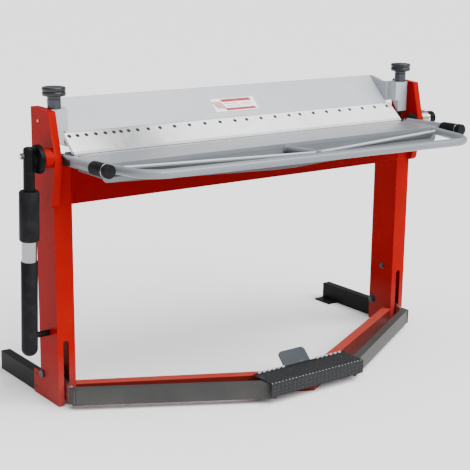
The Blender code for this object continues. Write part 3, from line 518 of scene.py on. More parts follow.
# A very dark copy of the grey paint for the release tab: painted shade.
LATCH_SHADED_GREY = PowderCoat("latch grey, painted shade", "grey_paint", (0.040, 0.047, 0.055), (0.030, 0.035, 0.041),
                        (0.20, 0.21, 0.22), roughness=0.46, dust=0.0, gloss=0.12, coat=0.0)
STEEL = BareMetal("machined steel", "machined_steel", (0.50, 0.505, 0.51), (0.24, 0.24, 0.25))
DARK_STEEL = BareMetal("blackened steel", "machined_steel", (0.055, 0.057, 0.062), (0.025, 0.026, 0.028),
                       roughness=0.42, metallic=0.55)
BLUED = BareMetal("blued stem", "black_paint", (0.075, 0.082, 0.096), (0.030, 0.033, 0.040), roughness=0.26,
                  metallic=0.85, stretch=(900.0, 900.0, 20.0))
BRIGHT = BareMetal("bright steel", "plating", (0.86, 0.86, 0.86), (0.60, 0.60, 0.61), roughness=0.22)
PLATED = BareMetal("plated tube", "plating", (0.33, 0.335, 0.35), (0.22, 0.225, 0.24), roughness=0.14,
                   stretch=(700.0, 700.0, 12.0), streak=0.2)
BRASS = BareMetal("brass", "bush_bronze", (0.62, 0.47, 0.20), (0.36, 0.26, 0.11), roughness=0.30)
EDGE_STEEL = BareMetal("ground edge", "ground_steel", (0.80, 0.81, 0.82), (0.55, 0.56, 0.58), roughness=0.28,
                       metallic=0.8, stretch=(30.0, 900.0, 900.0))
RUBBER = Moulded("black rubber", "grip_rubber", (0.0075, 0.0075, 0.009), (0.020, 0.020, 0.022), 0.48)
PLASTIC = Moulded("knob plastic", "knob_plastic", (0.016, 0.017, 0.019), (0.040, 0.041, 0.045), 0.30, 700.0,
                  0.00006, 0.40)
TREAD = TreadPaint("tread paint", "black_paint", (0.0120, 0.0128, 0.0145), (0.15, 0.155, 0.16))
WORN_TREAD = TreadPaint("worn tread paint", "black_paint", (0.030, 0.032, 0.035), (0.34, 0.35, 0.36))
BLACKED = BareMetal("blacked steel", "machined_steel", (0.010, 0.010, 0.011), (0.004, 0.004, 0.005),
                        roughness=0.5, metallic=0.3)
FLOOR = StudioFloor("studio floor", "")


# ---- surfaces ----------------------------------------------------------------------------------------


@dataclass
class Surface:
    """Points with the quads and triangles that join them, counted from the bending line."""

    points: np.ndarray
    quads: np.ndarray
    triangles: np.ndarray = field(default_factory=lambda: np.zeros((0, 3), int))

    @staticmethod
    def joined(parts: Sequence[Surface]) -> Surface:
        """Several surfaces as one.

        Args:
            parts: The surfaces to join.

        Returns:
            One surface that holds them all.
        """
        starts = np.cumsum([0] + [len(part.points) for part in parts[:-1]])
        return Surface(
            np.concatenate([part.points for part in parts]),
            np.concatenate([part.quads + start for part, start in zip(parts, starts)]),
            np.concatenate([part.triangles + start for part, start in zip(parts, starts)]),
        )

    def repeated(self, shifts: np.ndarray, turns: np.ndarray | None = None) -> Surface:
        """Copies of the surface, each turned by its own matrix about the datum and then moved.

        Args:
            shifts: One row of x, y and z for each copy.
            turns: A 3 by 3 matrix for each copy, or none.

        Returns:
            All the copies as one surface.
        """
        count, size = len(shifts), len(self.points)
        turned = np.broadcast_to(self.points, (count, size, 3))
        if turns is not None:
            turned = np.einsum("nij,kj->nki", turns, self.points)
        starts = (np.arange(count) * size)[:, None, None]
        return Surface(
            (turned + np.asarray(shifts, float)[:, None, :]).reshape(-1, 3),
            (self.quads[None] + starts).reshape(-1, 4),
            (self.triangles[None] + starts).reshape(-1, 3),
        )

    def outward(self) -> Surface:
        """The surface with its faces pointing out: the sum of a.(b x c) over its triangles is positive."""
        halves = [self.triangles, self.quads[:, [0, 1, 2]], self.quads[:, [0, 2, 3]]]
        corners = self.points[np.concatenate(halves)]
        volume = np.einsum("ij,ij->i", corners[:, 0], np.cross(corners[:, 1], corners[:, 2])).sum()
        if volume < 0:
            return Surface(self.points, self.quads[:, ::-1], self.triangles[:, ::-1])
        return self


def ring_quads(rows: int, columns: int, closed: bool = False) -> np.ndarray:
    """Quads of a grid whose columns wrap round.

    Args:
        rows: Rings of points.
        columns: Points in each ring.
        closed: True if the last ring joins the first.

    Returns:
        Point numbers, four to a quad.
    """
    steps = rows if closed else rows - 1
    row, column = np.meshgrid(np.arange(steps), np.arange(columns), indexing="ij")
    after, beside = (row + 1) % rows, (column + 1) % columns
    here, there = row * columns, after * columns
    corners = [here + column, here + beside, there + beside, there + column]
    return np.stack(corners, axis=-1).reshape(-1, 4)


def capped(rings: np.ndarray, poles: tuple[np.ndarray, np.ndarray]) -> Surface:
    """A run of rings closed by a pole at each end.

    Args:
        rings: An array of rings by points by 3.
        poles: The point that closes each end.

    Returns:
        A closed surface.
    """
    rows, columns = rings.shape[:2]
    points = np.concatenate([rings.reshape(-1, 3), np.array(poles)])
    here = np.arange(columns)
    beside = (here + 1) % columns
    first, last = rows * columns, rows * columns + 1
    start = np.stack([np.full(columns, first), beside, here], axis=-1)
    final = (rows - 1) * columns
    end = np.stack([np.full(columns, last), here + final, beside + final], axis=-1)
    return Surface(points, ring_quads(rows, columns), np.concatenate([start, end]))


def side_axes(axis: np.ndarray) -> tuple[np.ndarray, np.ndarray]:
    """Two unit vectors square to an axis and to each other.

    Args:
        axis: A unit vector.

    Returns:
        The two vectors.
    """
    helper = np.array([0.0, 0.0, 1.0]) if abs(axis[2]) < 0.9 else np.array([0.0, 1.0, 0.0])
    first = np.cross(axis, helper)
    first /= np.linalg.norm(first)
    return first, np.cross(axis, first)


def turned(origin: Point, axis: Point, profile: Sequence[Point], steps: int = 48, ripple: float = 0.0,
           waves: int = 0) -> Surface:
    """A turned shape: P(h, a) = origin + h axis + r(h) (1 + ripple cos(waves a)) (cos a e1 + sin a e2).

    Args:
        origin: Where height 0 lies.
        axis: The direction of rising height.
        profile: Rows of radius and height. A profile whose ends both have radius 0 closes in poles;
            any other is a ring, whose last row joins its first.
        steps: Points round the axis.
        ripple: Depth of the flutes as a share of the radius.
        waves: Flutes round the axis.

    Returns:
        A closed surface.
    """
    line = np.asarray(axis, float) / np.linalg.norm(axis)
    first, second = side_axes(line)
    rows = np.asarray(profile, float)
    poled = rows[0, 0] == 0 and rows[-1, 0] == 0
    angle = np.linspace(0, 2 * np.pi, steps, endpoint=False)
    round_unit = np.cos(angle)[:, None] * first + np.sin(angle)[:, None] * second
    body = rows[1:-1] if poled else rows
    reach = body[:, 0, None] * (1 + ripple * np.cos(waves * angle))[None]
    centre = np.asarray(origin, float)
    rings = centre + body[:, 1, None, None] * line + reach[:, :, None] * round_unit
    if poled:
        return capped(rings, (centre + rows[0, 1] * line, centre + rows[-1, 1] * line)).outward()
    return Surface(rings.reshape(-1, 3), ring_quads(len(body), steps, True)).outward()


def swept(path: np.ndarray, radius: np.ndarray | float, normal: Point, sides: int = 24) -> Surface:
    """A round bar along a path: P(s, a) = c(s) + r(s) (cos a e1(s) + sin a e2(s)), with e1 = t x normal.

    Args:
        path: Points along the middle.
        radius: One radius, or one for each point.
        normal: A direction that is never along the path.
        sides: Points round the bar.

    Returns:
        A closed surface with flat ends.
    """
    centre = np.asarray(path, float)
    tangent = np.gradient(centre, axis=0)
    tangent /= np.linalg.norm(tangent, axis=1)[:, None]
    first = np.cross(tangent, np.asarray(normal, float))
    first /= np.linalg.norm(first, axis=1)[:, None]
    second = np.cross(tangent, first)
    angle = np.linspace(0, 2 * np.pi, sides, endpoint=False)
    reach = np.broadcast_to(np.asarray(radius, float), len(centre))[:, None, None]
    rings = centre[:, None] + reach * (
        np.cos(angle)[None, :, None] * first[:, None] + np.sin(angle)[None, :, None] * second[:, None]
    )
    return capped(rings, (centre[0], centre[-1])).outward()


def weld_bead(start: Point, end: Point, radius: float, normal: Point = (0.0, 0.0, 1.0)) -> Surface:
    """A rippled bead: r(s) = radius (1 + 0.14 sin(2 pi s / pitch)), tapering to nothing at both ends.

    Args:
        start: One end.
        end: The other end.
        radius: The bead's radius.
        normal: A direction that is not along the bead.

    Returns:
        A closed surface.
    """
    ends = np.array([start, end], float)
    length = float(np.linalg.norm(ends[1] - ends[0]))
    share = np.linspace(0, 1, max(12, int(length / 0.0009)))
    taper = np.sqrt(np.clip(1 - (2 * share - 1) ** 16, 0.02, 1))
    ripple = 1 + 0.14 * np.sin(2 * np.pi * share * length / 0.0042)
    path = ends[0] + share[:, None] * (ends[1] - ends[0])
    return swept(path, radius * taper * ripple, normal, 8)


def weld_ring(centre: Point, axis: Point, radius: float, thick: float) -> Surface:
    """A lumpy ring of weld round a bar: a torus whose tube radius is thick (1 + 0.18 cos(11 a)).

    Args:
        centre: The middle of the ring.
        axis: The bar's direction.
        radius: The bar's radius.
        thick: The radius of the bead.

    Returns:
        A closed surface.
    """
    line = np.asarray(axis, float) / np.linalg.norm(axis)
    first, second = side_axes(line)
    round_angle = np.linspace(0, 2 * np.pi, 44, endpoint=False)[:, None]
    tube_angle = np.linspace(0, 2 * np.pi, 10, endpoint=False)[None]
    bead = thick * (1 + 0.18 * np.cos(11 * round_angle))
    reach = radius + bead * np.cos(tube_angle)
    rise = bead * np.sin(tube_angle)
    out = np.cos(round_angle)[..., None] * first + np.sin(round_angle)[..., None] * second
    points = np.asarray(centre, float) + reach[..., None] * out + rise[..., None] * line
    return Surface(points.reshape(-1, 3), ring_quads(44, 10, True)).outward()


def band(centre: Point, axis: Point, radius: float, thick: float) -> Surface:
    """A thin plain ring round a bar."""
    angle = np.linspace(0, 2 * np.pi, 8, endpoint=False)
    profile = np.stack([radius + thick * np.cos(angle), thick * np.sin(angle)], axis=-1)
    return turned(centre, axis, profile, 44)


def bolt(origin: Point, axis: Point, across: float, height: float) -> Surface:
    """A six-sided head on a round washer, standing up from origin along axis.

    Args:
        origin: The middle of the washer's underside.
        axis: Away from the plate.
        across: The head's radius to its corners.
        height: The head's height.

    Returns:
        A closed surface of two shells.
    """
    washer = ((0, 0), (across * 1.35, 0), (across * 1.40, 0.0004), (across * 1.35, 0.0014), (0, 0.0014))
    top = 0.0014 + height
    head = ((0, 0.0013), (across, 0.0013), (across, top - 0.0007), (across * 0.86, top), (0, top))
    return Surface.joined([turned(origin, axis, washer, 32), turned(origin, axis, head, 6)])


def socket_screw(origin: Point, axis: Point, radius: float, depth: float) -> Surface:
    """A round screw head with a socket: its top at origin, its socket sunk by depth."""
    profile = ((0, -depth), (radius * 0.50, -depth), (radius * 0.55, -0.0001), (radius * 0.86, 0),
               (radius, -0.0005), (radius, -depth - 0.001), (0, -depth - 0.001))
    return turned(origin, axis, profile, 18)


def lozenge(length: float, width: float, height: float) -> Surface:
    """A raised tread mark: a four-cornered pyramid with a shallow foot below it."""
    points = np.array([[length, 0, 0], [0, width, 0], [-length, 0, 0], [0, -width, 0], [0, 0, height],
                       [0, 0, -0.0004]])
    sides = [[0, 1, 4], [1, 2, 4], [2, 3, 4], [3, 0, 4], [1, 0, 5], [2, 1, 5], [3, 2, 5], [0, 3, 5]]
    return Surface(points, np.zeros((0, 4), int), np.array(sides)).outward()


# ---- putting pieces in -------------------------------------------------------------------------------


def add_piece(name: str, shape: Surface, finish: Finish, body: Body, replaces: Sequence[str] = (),
              crease: float = 34.0) -> bpy.types.Object:
    """Makes an object of a surface, finished and riding on its body.

    Args:
        name: The piece's name.
        shape: Its surface, counted from the bending line.
        finish: Its finish.
        body: The body that it rides on.
        replaces: CAD nodes that it stands for.
        crease: Edges sharper than this many degrees stay sharp.

    Returns:
        The new object.
    """
    mesh = bpy.data.meshes.new(name)
    mesh.from_pydata(DATUM.place(shape.points).tolist(), [], shape.quads.tolist() + shape.triangles.tolist())
    mesh.validate()
    mesh.shade_smooth()
    mesh.set_sharp_from_angle(angle=math.radians(crease))
    mesh.materials.append(finish.material())
    piece = bpy.data.objects.new(name, mesh)
    bpy.context.scene.collection.objects.link(piece)
    return settle(piece, finish, body, replaces)


def settle(piece: bpy.types.Object, finish: Finish, body: Body, replaces: Sequence[str]) -> bpy.types.Object:
    """Rides the piece on its body and hides the CAD nodes that it stands for."""
    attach(piece, body.value)
    if replaces:
        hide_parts(*replaces)
    LOG.info("piece %s on %s, %s, %d faces", piece.name, body.value, finish.name, len(piece.data.polygons))
    return piece


def soften(node: str, finish: Finish, body: Body, width: float = 0.0011, crease: float = 30.0,
           under: Finish | None = None) -> None:
    """Stands a copy with worked-over edges in place of a CAD node.

    Args:
        node: The CAD node.
        finish: Its finish.
        body: The body that it rides on.
        width: How far each sharp edge is rounded back; 0 leaves the edges.
        crease: Edges sharper than this many degrees are rounded.
        under: The finish of faces that look down, if it is another one: painted shade on the undersides.
    """
    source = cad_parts[node].data
    points = np.zeros(len(source.vertices) * 3, np.float32)
    source.vertices.foreach_get("co", points)
    corners = np.zeros(len(source.loops), np.int32)
    source.loops.foreach_get("vertex_index", corners)
    mesh = bpy.data.meshes.new(node + "_skin")
    mesh.from_pydata(points.reshape(-1, 3).tolist(), [], corners.reshape(-1, 3).tolist())
    work = bmesh.new()
    work.from_mesh(mesh)
    bmesh.ops.remove_doubles(work, verts=work.verts, dist=0.00002)
    bmesh.ops.dissolve_limit(work, angle_limit=math.radians(0.5), verts=work.verts, edges=work.edges)
    work.to_mesh(mesh)
    work.free()
    mesh.shade_smooth()
    mesh.materials.append(finish.material())
    # Faces whose normals point down take the second finish: painted shade.
    if under is not None:
        mesh.materials.append(under.material())
        normals = np.zeros(len(mesh.polygons) * 3, np.float32)
        mesh.polygons.foreach_get("normal", normals)
        mesh.polygons.foreach_set("material_index", (normals.reshape(-1, 3)[:, 2] < -0.1).astype(np.int32))
    piece = bpy.data.objects.new(node + "_skin", mesh)
    bpy.context.scene.collection.objects.link(piece)
    if width > 0:
        bevel = piece.modifiers.new("rounded edges", "BEVEL")
        bevel.width = width
        bevel.segments = 2
        bevel.limit_method = "ANGLE"
        bevel.angle_limit = math.radians(crease)
        bevel.harden_normals = True
    else:
        mesh.set_sharp_from_angle(angle=math.radians(crease))
    settle(piece, finish, body, [node])


def both(node: str) -> list[str]:
    """The left and the right node of a pair."""
    return [f"{node}_{side.word}" for side in Side]


# ---- the machine's sub-assemblies --------------------------------------------------------------------


@dataclass
class Stand:
    """The welded stand: columns, cheeks, cross beam, base and feet."""

    column_inner: float = 0.613
    column_outer: float = 0.668
    column_front: float = 0.014
    cheek_outer: float = 0.6835
    cheek_foot: float = -0.135
    beam_low: float = -0.136
    guide_bolt: tuple[float, float] = (0.062, -0.510)
    ear_screws: tuple[tuple[float, float], ...] = ((0.148, -0.653), (0.147, -0.690))

    def build(self) -> None:
        """Dresses the stand's nodes and adds its fastenings and welds."""
        for node in both("column") + both("cheek"):
            soften(node, RED, Body.STAND, 0.0014)
        for node, finish in (("cross_beam", BEAM_SHADED_RED), ("latch_striker", RED), ("base_frame", BASE_LIT_SHADED_RED)):
            soften(node, finish, Body.STAND, 0.0016)
        for node in both("foot"):
            soften(node, BLACK, Body.STAND, 0.0016)
        soften("bed_bar", DARK_STEEL, Body.STAND, 0.0008)
        soften("lever_stop", BLACK, Body.STAND, 0.0010)
        for node in both("rod_guide"):
            soften(node, STEEL, Body.STAND, 0.0006)
        for node in both("pedal_pivot"):
            soften(node, DARK_STEEL, Body.STAND, 0.0009)
        for node in both("leaf_bush"):
            soften(node, BRASS, Body.STAND, 0.0004)
        self.add_fastenings()
        self.add_welds()

    def add_fastenings(self) -> None:
        """Screws in the cheeks and in the columns' ears, and the bolts of the rod guides."""
        for side in Side:
            out = (side.value, 0, 0)
            screw = turned((side.value * (self.cheek_outer + 0.0002), 0.062, 0.092), out,
                           ((0, 0), (0.0046, 0), (0.0044, 0.0010), (0.0026, 0.0022), (0.0011, 0.0023),
                            (0.0009, 0.0012), (0, 0.0012)), 24)
            add_piece(f"cheek_screw_{side.word}", screw, BRASS, Body.STAND)
            heads = [socket_screw((side.value * (self.column_outer + 0.0012), y, z), out, 0.0042, 0.0016)
                     for y, z in self.ear_screws]
            add_piece(f"ear_screws_{side.word}", Surface.joined(heads), DARK_STEEL, Body.STAND)
            inward = (-side.value, 0, 0)
            y, z = self.guide_bolt
            head = bolt((side.value * (self.column_inner - 0.0002), y, z), inward, 0.0075, 0.0050)
            add_piece(f"guide_bolt_{side.word}", head, DARK_STEEL, Body.STAND)
            nut = bolt((side.value * (self.column_inner - 0.0002), 0.106, -0.640), inward, 0.0115, 0.0070)
            add_piece(f"pivot_nut_{side.word}", nut, DARK_STEEL, Body.STAND)

    def add_welds(self) -> None:
        """Beads where the cheek, the cross beam and the base meet the columns."""
        for side in Side:
            s = side.value
            inner, outer = s * (self.column_inner - 0.0006), s * (self.column_outer + 0.0010)
            foot = self.cheek_foot - 0.0006
            below, front = self.beam_low - 0.0008, self.column_front - 0.0006
            beads = [
                weld_bead((outer, 0.016, foot), (outer, 0.098, foot), 0.0024),
                weld_bead((inner, 0.020, below), (inner, 0.078, below), 0.0022),
                weld_bead((inner, 0.016, -0.6536), (inner, 0.046, -0.6536), 0.0020),
                weld_bead((inner, front, -0.128), (inner, front, -0.045), 0.0013, (0, 1, 0)),
            ]
            add_piece(f"stand_welds_{side.word}", Surface.joined(beads), RED, Body.STAND, crease=60)


@dataclass
class ClampBeam:
    """The lifting upper beam: ground fingers, sloping cover, brackets, rods and springs."""

    half_blade: float = 0.610
    nose: tuple[float, float] = (0.0006, 0.0035)
    top: tuple[float, float] = (0.0585, 0.0525)
    hole_row: float = 0.0625
    narrow: tuple[float, ...] = (25, 25, 30, 30, 30, 25, 20, 30, 30, 40, 40, 60)
    wide_count: int = 4
    wide_screws: int = 4
    screw_pitch: float = 0.055

    @property
    def slope(self) -> float:
        """The angle of the fingers' face above level."""
        return math.atan2(self.top[1] - self.nose[1], self.top[0] - self.nose[0])

    def finger_edges(self) -> np.ndarray:
        """Where each finger after the first begins.

        Returns:
            Places along X: the running sum of the narrow widths, and then equal wide ones.
        """
        narrow = -self.half_blade + np.cumsum(np.array(self.narrow) / 1000)
        wide = np.linspace(narrow[-1], self.half_blade, self.wide_count + 1)[1:-1]
        return np.concatenate([narrow, wide])

    def screw_places(self) -> np.ndarray:
        """Where the screws stand: one in the middle of a narrow finger and an even row in each wide one.

        Returns:
            Places along X.
        """
        widths = np.array(self.narrow) / 1000
        last = -self.half_blade + widths.sum()
        middles = -self.half_blade + np.cumsum(widths) - widths / 2
        wide = (self.half_blade - last) / self.wide_count
        centres = last + wide * (np.arange(self.wide_count) + 0.5)
        row = self.screw_pitch * (np.arange(self.wide_screws) - (self.wide_screws - 1) / 2)
        return np.concatenate([middles, (centres[:, None] + row[None]).ravel()])

    def build(self) -> None:
        """Dresses the beam and sets a screw in each hole."""
        edges = tuple(self.finger_edges().tolist())
        fingers = GroundFingers("ground fingers", "ground_steel", edges, self.slope)
        soften("clamp_blade", fingers, Body.CLAMP, 0.0006, 24)
        soften("clamp_cover", GREY, Body.CLAMP, 0.0013)
        soften("clamp_beam", GREY, Body.CLAMP, 0.0010)
        for node in both("clamp_bracket"):
            soften(node, GREY, Body.CLAMP, 0.0013)
        for node in both("pull_rod") + both("lift_spring"):
            soften(node, BLACKED, Body.CLAMP, 0.0)
        low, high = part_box("label_plate")
        middle = (np.array(low) + np.array(high)) / 2 - DATUM.point
        soften("label_plate", LabelFilm("label film", "label_film", *middle.tolist()), Body.CLAMP, 0.0)
        self.add_finger_screws()
        self.add_cover_welds()

    def add_finger_screws(self) -> None:
        """A socket screw sunk in every hole of the fingers."""
        out = np.array([0, -math.sin(self.slope), math.cos(self.slope)])
        along = np.array([0, math.cos(self.slope), math.sin(self.slope)])
        row = np.array([0, *self.nose]) + self.hole_row * along
        screw = socket_screw(row + out * 0.0004, out, 0.0064, 0.0014)
        places = self.screw_places()
        shifts = np.stack([places, np.zeros_like(places), np.zeros_like(places)], axis=-1)
        add_piece("finger_screws", screw.repeated(shifts), BLACKED, Body.CLAMP)

    def add_cover_welds(self) -> None:
        """Short beads behind the cover, where it is welded to the brackets' plates."""
        for side in Side:
            x = side.value * 0.5995
            bead = weld_bead((x, 0.070, 0.053), (x, 0.140, 0.123), 0.0020, (1, 0, 0))
            add_piece(f"cover_weld_{side.word}", bead, GREY, Body.CLAMP, crease=60)


@dataclass
class PressureKnobs:
    """The two screw knobs that set the clamping height."""

    rod_x: float = 0.642
    rod_y: float = 0.106 - 0.060 * math.cos(math.radians(9.0))
    knob_low: float = 0.1568
    knob_high: float = 0.181
    rim: float = 0.0320
    waist: float = 0.0282
    stem: float = 0.0185

    def build(self) -> None:
        """Makes each knob and its stem."""
        for side, body in ((Side.LEFT, Body.LEFT_KNOB), (Side.RIGHT, Body.RIGHT_KNOB)):
            foot = (side.value * self.rod_x, self.rod_y, 0.0)
            head = turned(foot, (0, 0, 1), self.knob_profile(), 144, 0.006, 36)
            add_piece(f"knob_{side.word}_moulding", head, PLASTIC, body, [f"knob_{side.word}"], 40)
            stem = turned(foot, (0, 0, 1), self.stem_profile(), 64)
            add_piece(f"knob_stem_{side.word}_turned", stem, BLUED, body, [f"knob_stem_{side.word}"])

    def knob_profile(self) -> np.ndarray:
        """Two rounded rims with a waist between them, and a dished top.

        Returns:
            Rows of radius and height from the bottom pole to the top pole.
        """
        share = np.linspace(0, 1, 41)
        height = self.knob_low + (self.knob_high - self.knob_low) * share
        bulge = np.abs(np.sin(2 * np.pi * share)) ** 0.30
        radius = self.waist + (self.rim - self.waist) * bulge
        dish = [(0.0225, self.knob_high), (0.0210, self.knob_high - 0.0010), (0, self.knob_high - 0.0010)]
        return np.concatenate([[(0, self.knob_low)], np.stack([radius, height], axis=-1), dish])

    def stem_profile(self) -> tuple[tuple[float, float], ...]:
        """A turned nut with a groove under its upper edge, bored for the rod."""
        low, high, r = 0.1223, 0.1564, self.stem
        return ((0.0074, low), (r - 0.001, low), (r, low + 0.001), (r, high - 0.009),
                (r - 0.001, high - 0.008), (r - 0.001, high - 0.007), (r, high - 0.006), (r, high - 0.0015),
                (r - 0.0015, high), (0.0074, high))


@dataclass
class BendingLeaf:
    """The swinging leaf with its bow handle, grips, trunnions and hub discs."""

    depth: float = 0.155
    bow_radius: float = 0.012
    bow_drop: float = 0.012
    bow_front: float = 0.332
    bow_rear_x: float = 0.598
    bow_corner_x: float = 0.589
    bow_corner_radius: float = 0.070
    bow_tilt: float = 0.0075
    handle_x: float = 0.641
    handle_drop: float = 0.009
    handle_rise: float = 0.020
    grip_radius: float = 0.0185
    grip_start: float = 0.157
    grip_end: float = 0.238
    disc_inner: float = 0.713
    disc_outer: float = 0.728
    disc_radius: float = 0.039

    def build(self) -> None:
        """Dresses the leaf's plates and makes its round parts."""
        soften("leaf_edge_bar", EDGE_STEEL, Body.LEAF, 0.0005)
        soften("leaf_plate", LEAF_SHADED_GREY, Body.LEAF, 0.0007)
        soften("leaf_skirt", SKIRT_SHADED_GREY, Body.LEAF, 0.0013)
        # The brace's downward faces take painted shade.
        soften("leaf_brace", LEAF_SHADED_GREY, Body.LEAF, 0.0010, under=UNDERSIDE_SHADE)
        soften("leaf_strut", LEAF_SHADED_GREY, Body.LEAF, 0.0, 40)
        for node in both("handle_tube"):
            soften(node, LEAF_SHADED_GREY, Body.LEAF, 0.0006, 40)
        for node in both("tube_cap"):
            soften(node, RUBBER, Body.LEAF, 0.0, 30)
        for node in both("pivot_shaft"):
            soften(node, BLACKED, Body.LEAF, 0.0007)
        sleeve = ((0.0263, 0), (0.0270, 0.0006), (0.0270, 0.0272), (0.0262, 0.0280), (0.0262, 0.0278),
                  (0.0262, 0.0002))
        add_piece("bearing_sleeve_right", turned((0.6840, 0, 0), (1, 0, 0), sleeve, 64), STEEL, Body.STAND)
        washer = ((0.0145, 0), (0.0195, 0), (0.0200, 0.0005), (0.0200, 0.0125), (0.0195, 0.0130),
                  (0.0145, 0.0130))
        add_piece("shaft_washer_right", turned((0.7133, 0, 0), (1, 0, 0), washer, 48), BRIGHT, Body.LEAF)
        soften("hub_disc_right", BLACK, Body.LEAF, 0.0, 30)
        add_piece("bow_handle_tube", self.bow(), LEAF_SHADED_GREY, Body.LEAF, ["bow_handle"])
        add_piece("hub_disc_left_turned", self.disc(), BLACK, Body.LEAF, ["hub_disc_left"], 25)
        self.add_grips()
        self.add_welds()
        self.add_end_stops()

    def bow_path(self) -> np.ndarray:
        """The middle of the bow tube: a leg, an arc, the straight front, and the same again.

        Returns:
            Points from the right leg to the left leg. The height falls with x by the tilt's share.
        """
        rear = -self.depth - 0.0005
        reach = self.bow_front + rear
        lean = math.atan2(self.bow_rear_x - self.bow_corner_x, reach)
        angle = np.linspace(lean, np.pi / 2, 28)
        middle_x = self.bow_corner_x - self.bow_corner_radius
        middle_y = -self.bow_front + self.bow_corner_radius
        arc = np.stack([middle_x + self.bow_corner_radius * np.cos(angle),
                        middle_y - self.bow_corner_radius * np.sin(angle)], axis=-1)
        leg_share = np.linspace(0, 1, 8, endpoint=False)[:, None]
        leg_start = np.array([self.bow_rear_x, rear])
        half = np.concatenate([leg_start + leg_share * (arc[0] - leg_start), arc])
        front_x = np.linspace(middle_x, -middle_x, 40)[1:-1]
        front = np.stack([front_x, np.full_like(front_x, -self.bow_front)], axis=-1)
        flat = np.concatenate([half, front, (half * [-1, 1])[::-1]])
        share = np.minimum(1.0, (rear - flat[:, 1]) / reach)
        height = -self.bow_drop - self.bow_tilt * flat[:, 0] / self.bow_corner_x * share
        return np.concatenate([flat, height[:, None]], axis=1)

    def bow(self) -> Surface:
        """The bow's tube."""
        return swept(self.bow_path(), self.bow_radius, (0, 0, 1), 32)

    def disc(self) -> Surface:
        """The wide left hub disc: a rounded rim, a step and a shallow face groove."""
        r, t, bore = self.disc_radius, self.disc_outer - self.disc_inner, 0.0143
        profile = ((bore, 0), (r - 0.002, 0), (r - 0.0006, 0.0007), (r, 0.0022), (r, t - 0.0045),
                   (r - 0.0009, t - 0.0022), (r - 0.0030, t - 0.0006), (r - 0.0055, t), (r - 0.010, t),
                   (r - 0.0108, t - 0.0008), (r - 0.0128, t - 0.0008), (r - 0.0136, t), (bore, t))
        return turned((-self.disc_inner, 0, 0), (-1, 0, 0), profile, 96)

    def handle_line(self, side: Side) -> tuple[np.ndarray, np.ndarray]:
        """Where the handle's rising axis starts, and its direction towards the front."""
        forward = np.array([0.0, -1.0, self.handle_rise])
        start = np.array([side.value * self.handle_x, 0.0, -self.handle_drop])
        return start, forward / np.linalg.norm(forward)

    def add_grips(self) -> None:
        """A ribbed grip on each handle tube, a bright ring near its end, and another on the cap."""
        length = self.grip_end - self.grip_start
        for side in Side:
            start, forward = self.handle_line(side)
            grip = turned(start + forward * self.grip_start, forward, self.grip_profile(length), 72)
            node = f"handle_grip_{side.word}"
            add_piece(node + "_ribbed", grip, RUBBER, Body.LEAF, [node], 50)
            ring_middle = start + forward * (self.grip_end - 0.0185)
            ring = band(ring_middle, forward, self.grip_radius - 0.0006, 0.0008)
            cap_ring = band(start - forward * 0.0061, forward, 0.0149, 0.0006)
            add_piece(f"grip_rings_{side.word}", Surface.joined([ring, cap_ring]), BRIGHT, Body.LEAF)

    def grip_profile(self, length: float) -> np.ndarray:
        """Rounded ribs: r(h) = R - 0.9 mm (1 - |sin(pi h / pitch)|^0.4), with a plain rounded end cap.

        Args:
            length: The grip's length.

        Returns:
            A closed ring of radius and height, bored for the tube.
        """
        r = self.grip_radius
        ribbed = length - 0.0195
        height = np.linspace(0.0, ribbed, 97)
        radius = r - 0.0010 * (1 - np.abs(np.sin(np.pi * height * 5 / ribbed)) ** 0.4)
        ribs = np.stack([radius, height], axis=-1)
        bend = np.linspace(0, np.pi / 2, 7)
        end = np.stack([r - 0.003 + 0.003 * np.cos(bend), length - 0.003 + 0.003 * np.sin(bend)], axis=-1)
        cap = [(r - 0.0012, ribbed + 0.0004), (r - 0.0012, ribbed + 0.0016), (r, ribbed + 0.0024)]
        inside = [(0.0005, length), (0.0005, length - 0.0074), (0.0148, length - 0.0074), (0.0148, 0.0)]
        return np.concatenate([ribs, cap, end, inside])

    def add_welds(self) -> None:
        """Rings of weld at the bow's feet and the strut's ends, beads along the leaf's flanges, and a lip
        along the brace's V edge in a paler grey that is a painted highlight.
        """
        foot_y = -self.depth - 0.0012
        rings = [weld_ring((side.value * self.bow_rear_x, foot_y, -self.bow_drop), (0, 1, 0), 0.0125, 0.0020)
                 for side in Side]
        rings.append(weld_ring((0, foot_y - 0.0004, -0.017), (0, 1, -0.03), 0.0118, 0.0026))
        rings.append(weld_ring((0, -0.3195, -0.012), (0, 1, 0), 0.0112, 0.0018))
        beads = []
        for side in Side:
            x = side.value * 0.6265
            beads.append(weld_bead((x, -0.146, -0.0012), (x, -0.070, -0.0012), 0.0020))
        # A rounded lip along the brace's V edge, in the cover's paler grey: painted highlight along the edge.
        edge = np.array([[-0.572, -0.1875, -0.0062], [0.0, -0.2885, -0.0062], [0.572, -0.1875, -0.0062]])
        share = np.linspace(0, 2, 61)
        path = np.stack([np.interp(share, [0, 1, 2], edge[:, axis]) for axis in range(3)], axis=-1)
        add_piece("brace_edge_highlight", swept(path, 0.0026, (0, 0, 1), 12), GREY, Body.LEAF)
        add_piece("leaf_welds", Surface.joined(rings + beads), LEAF_SHADED_GREY, Body.LEAF, crease=60)

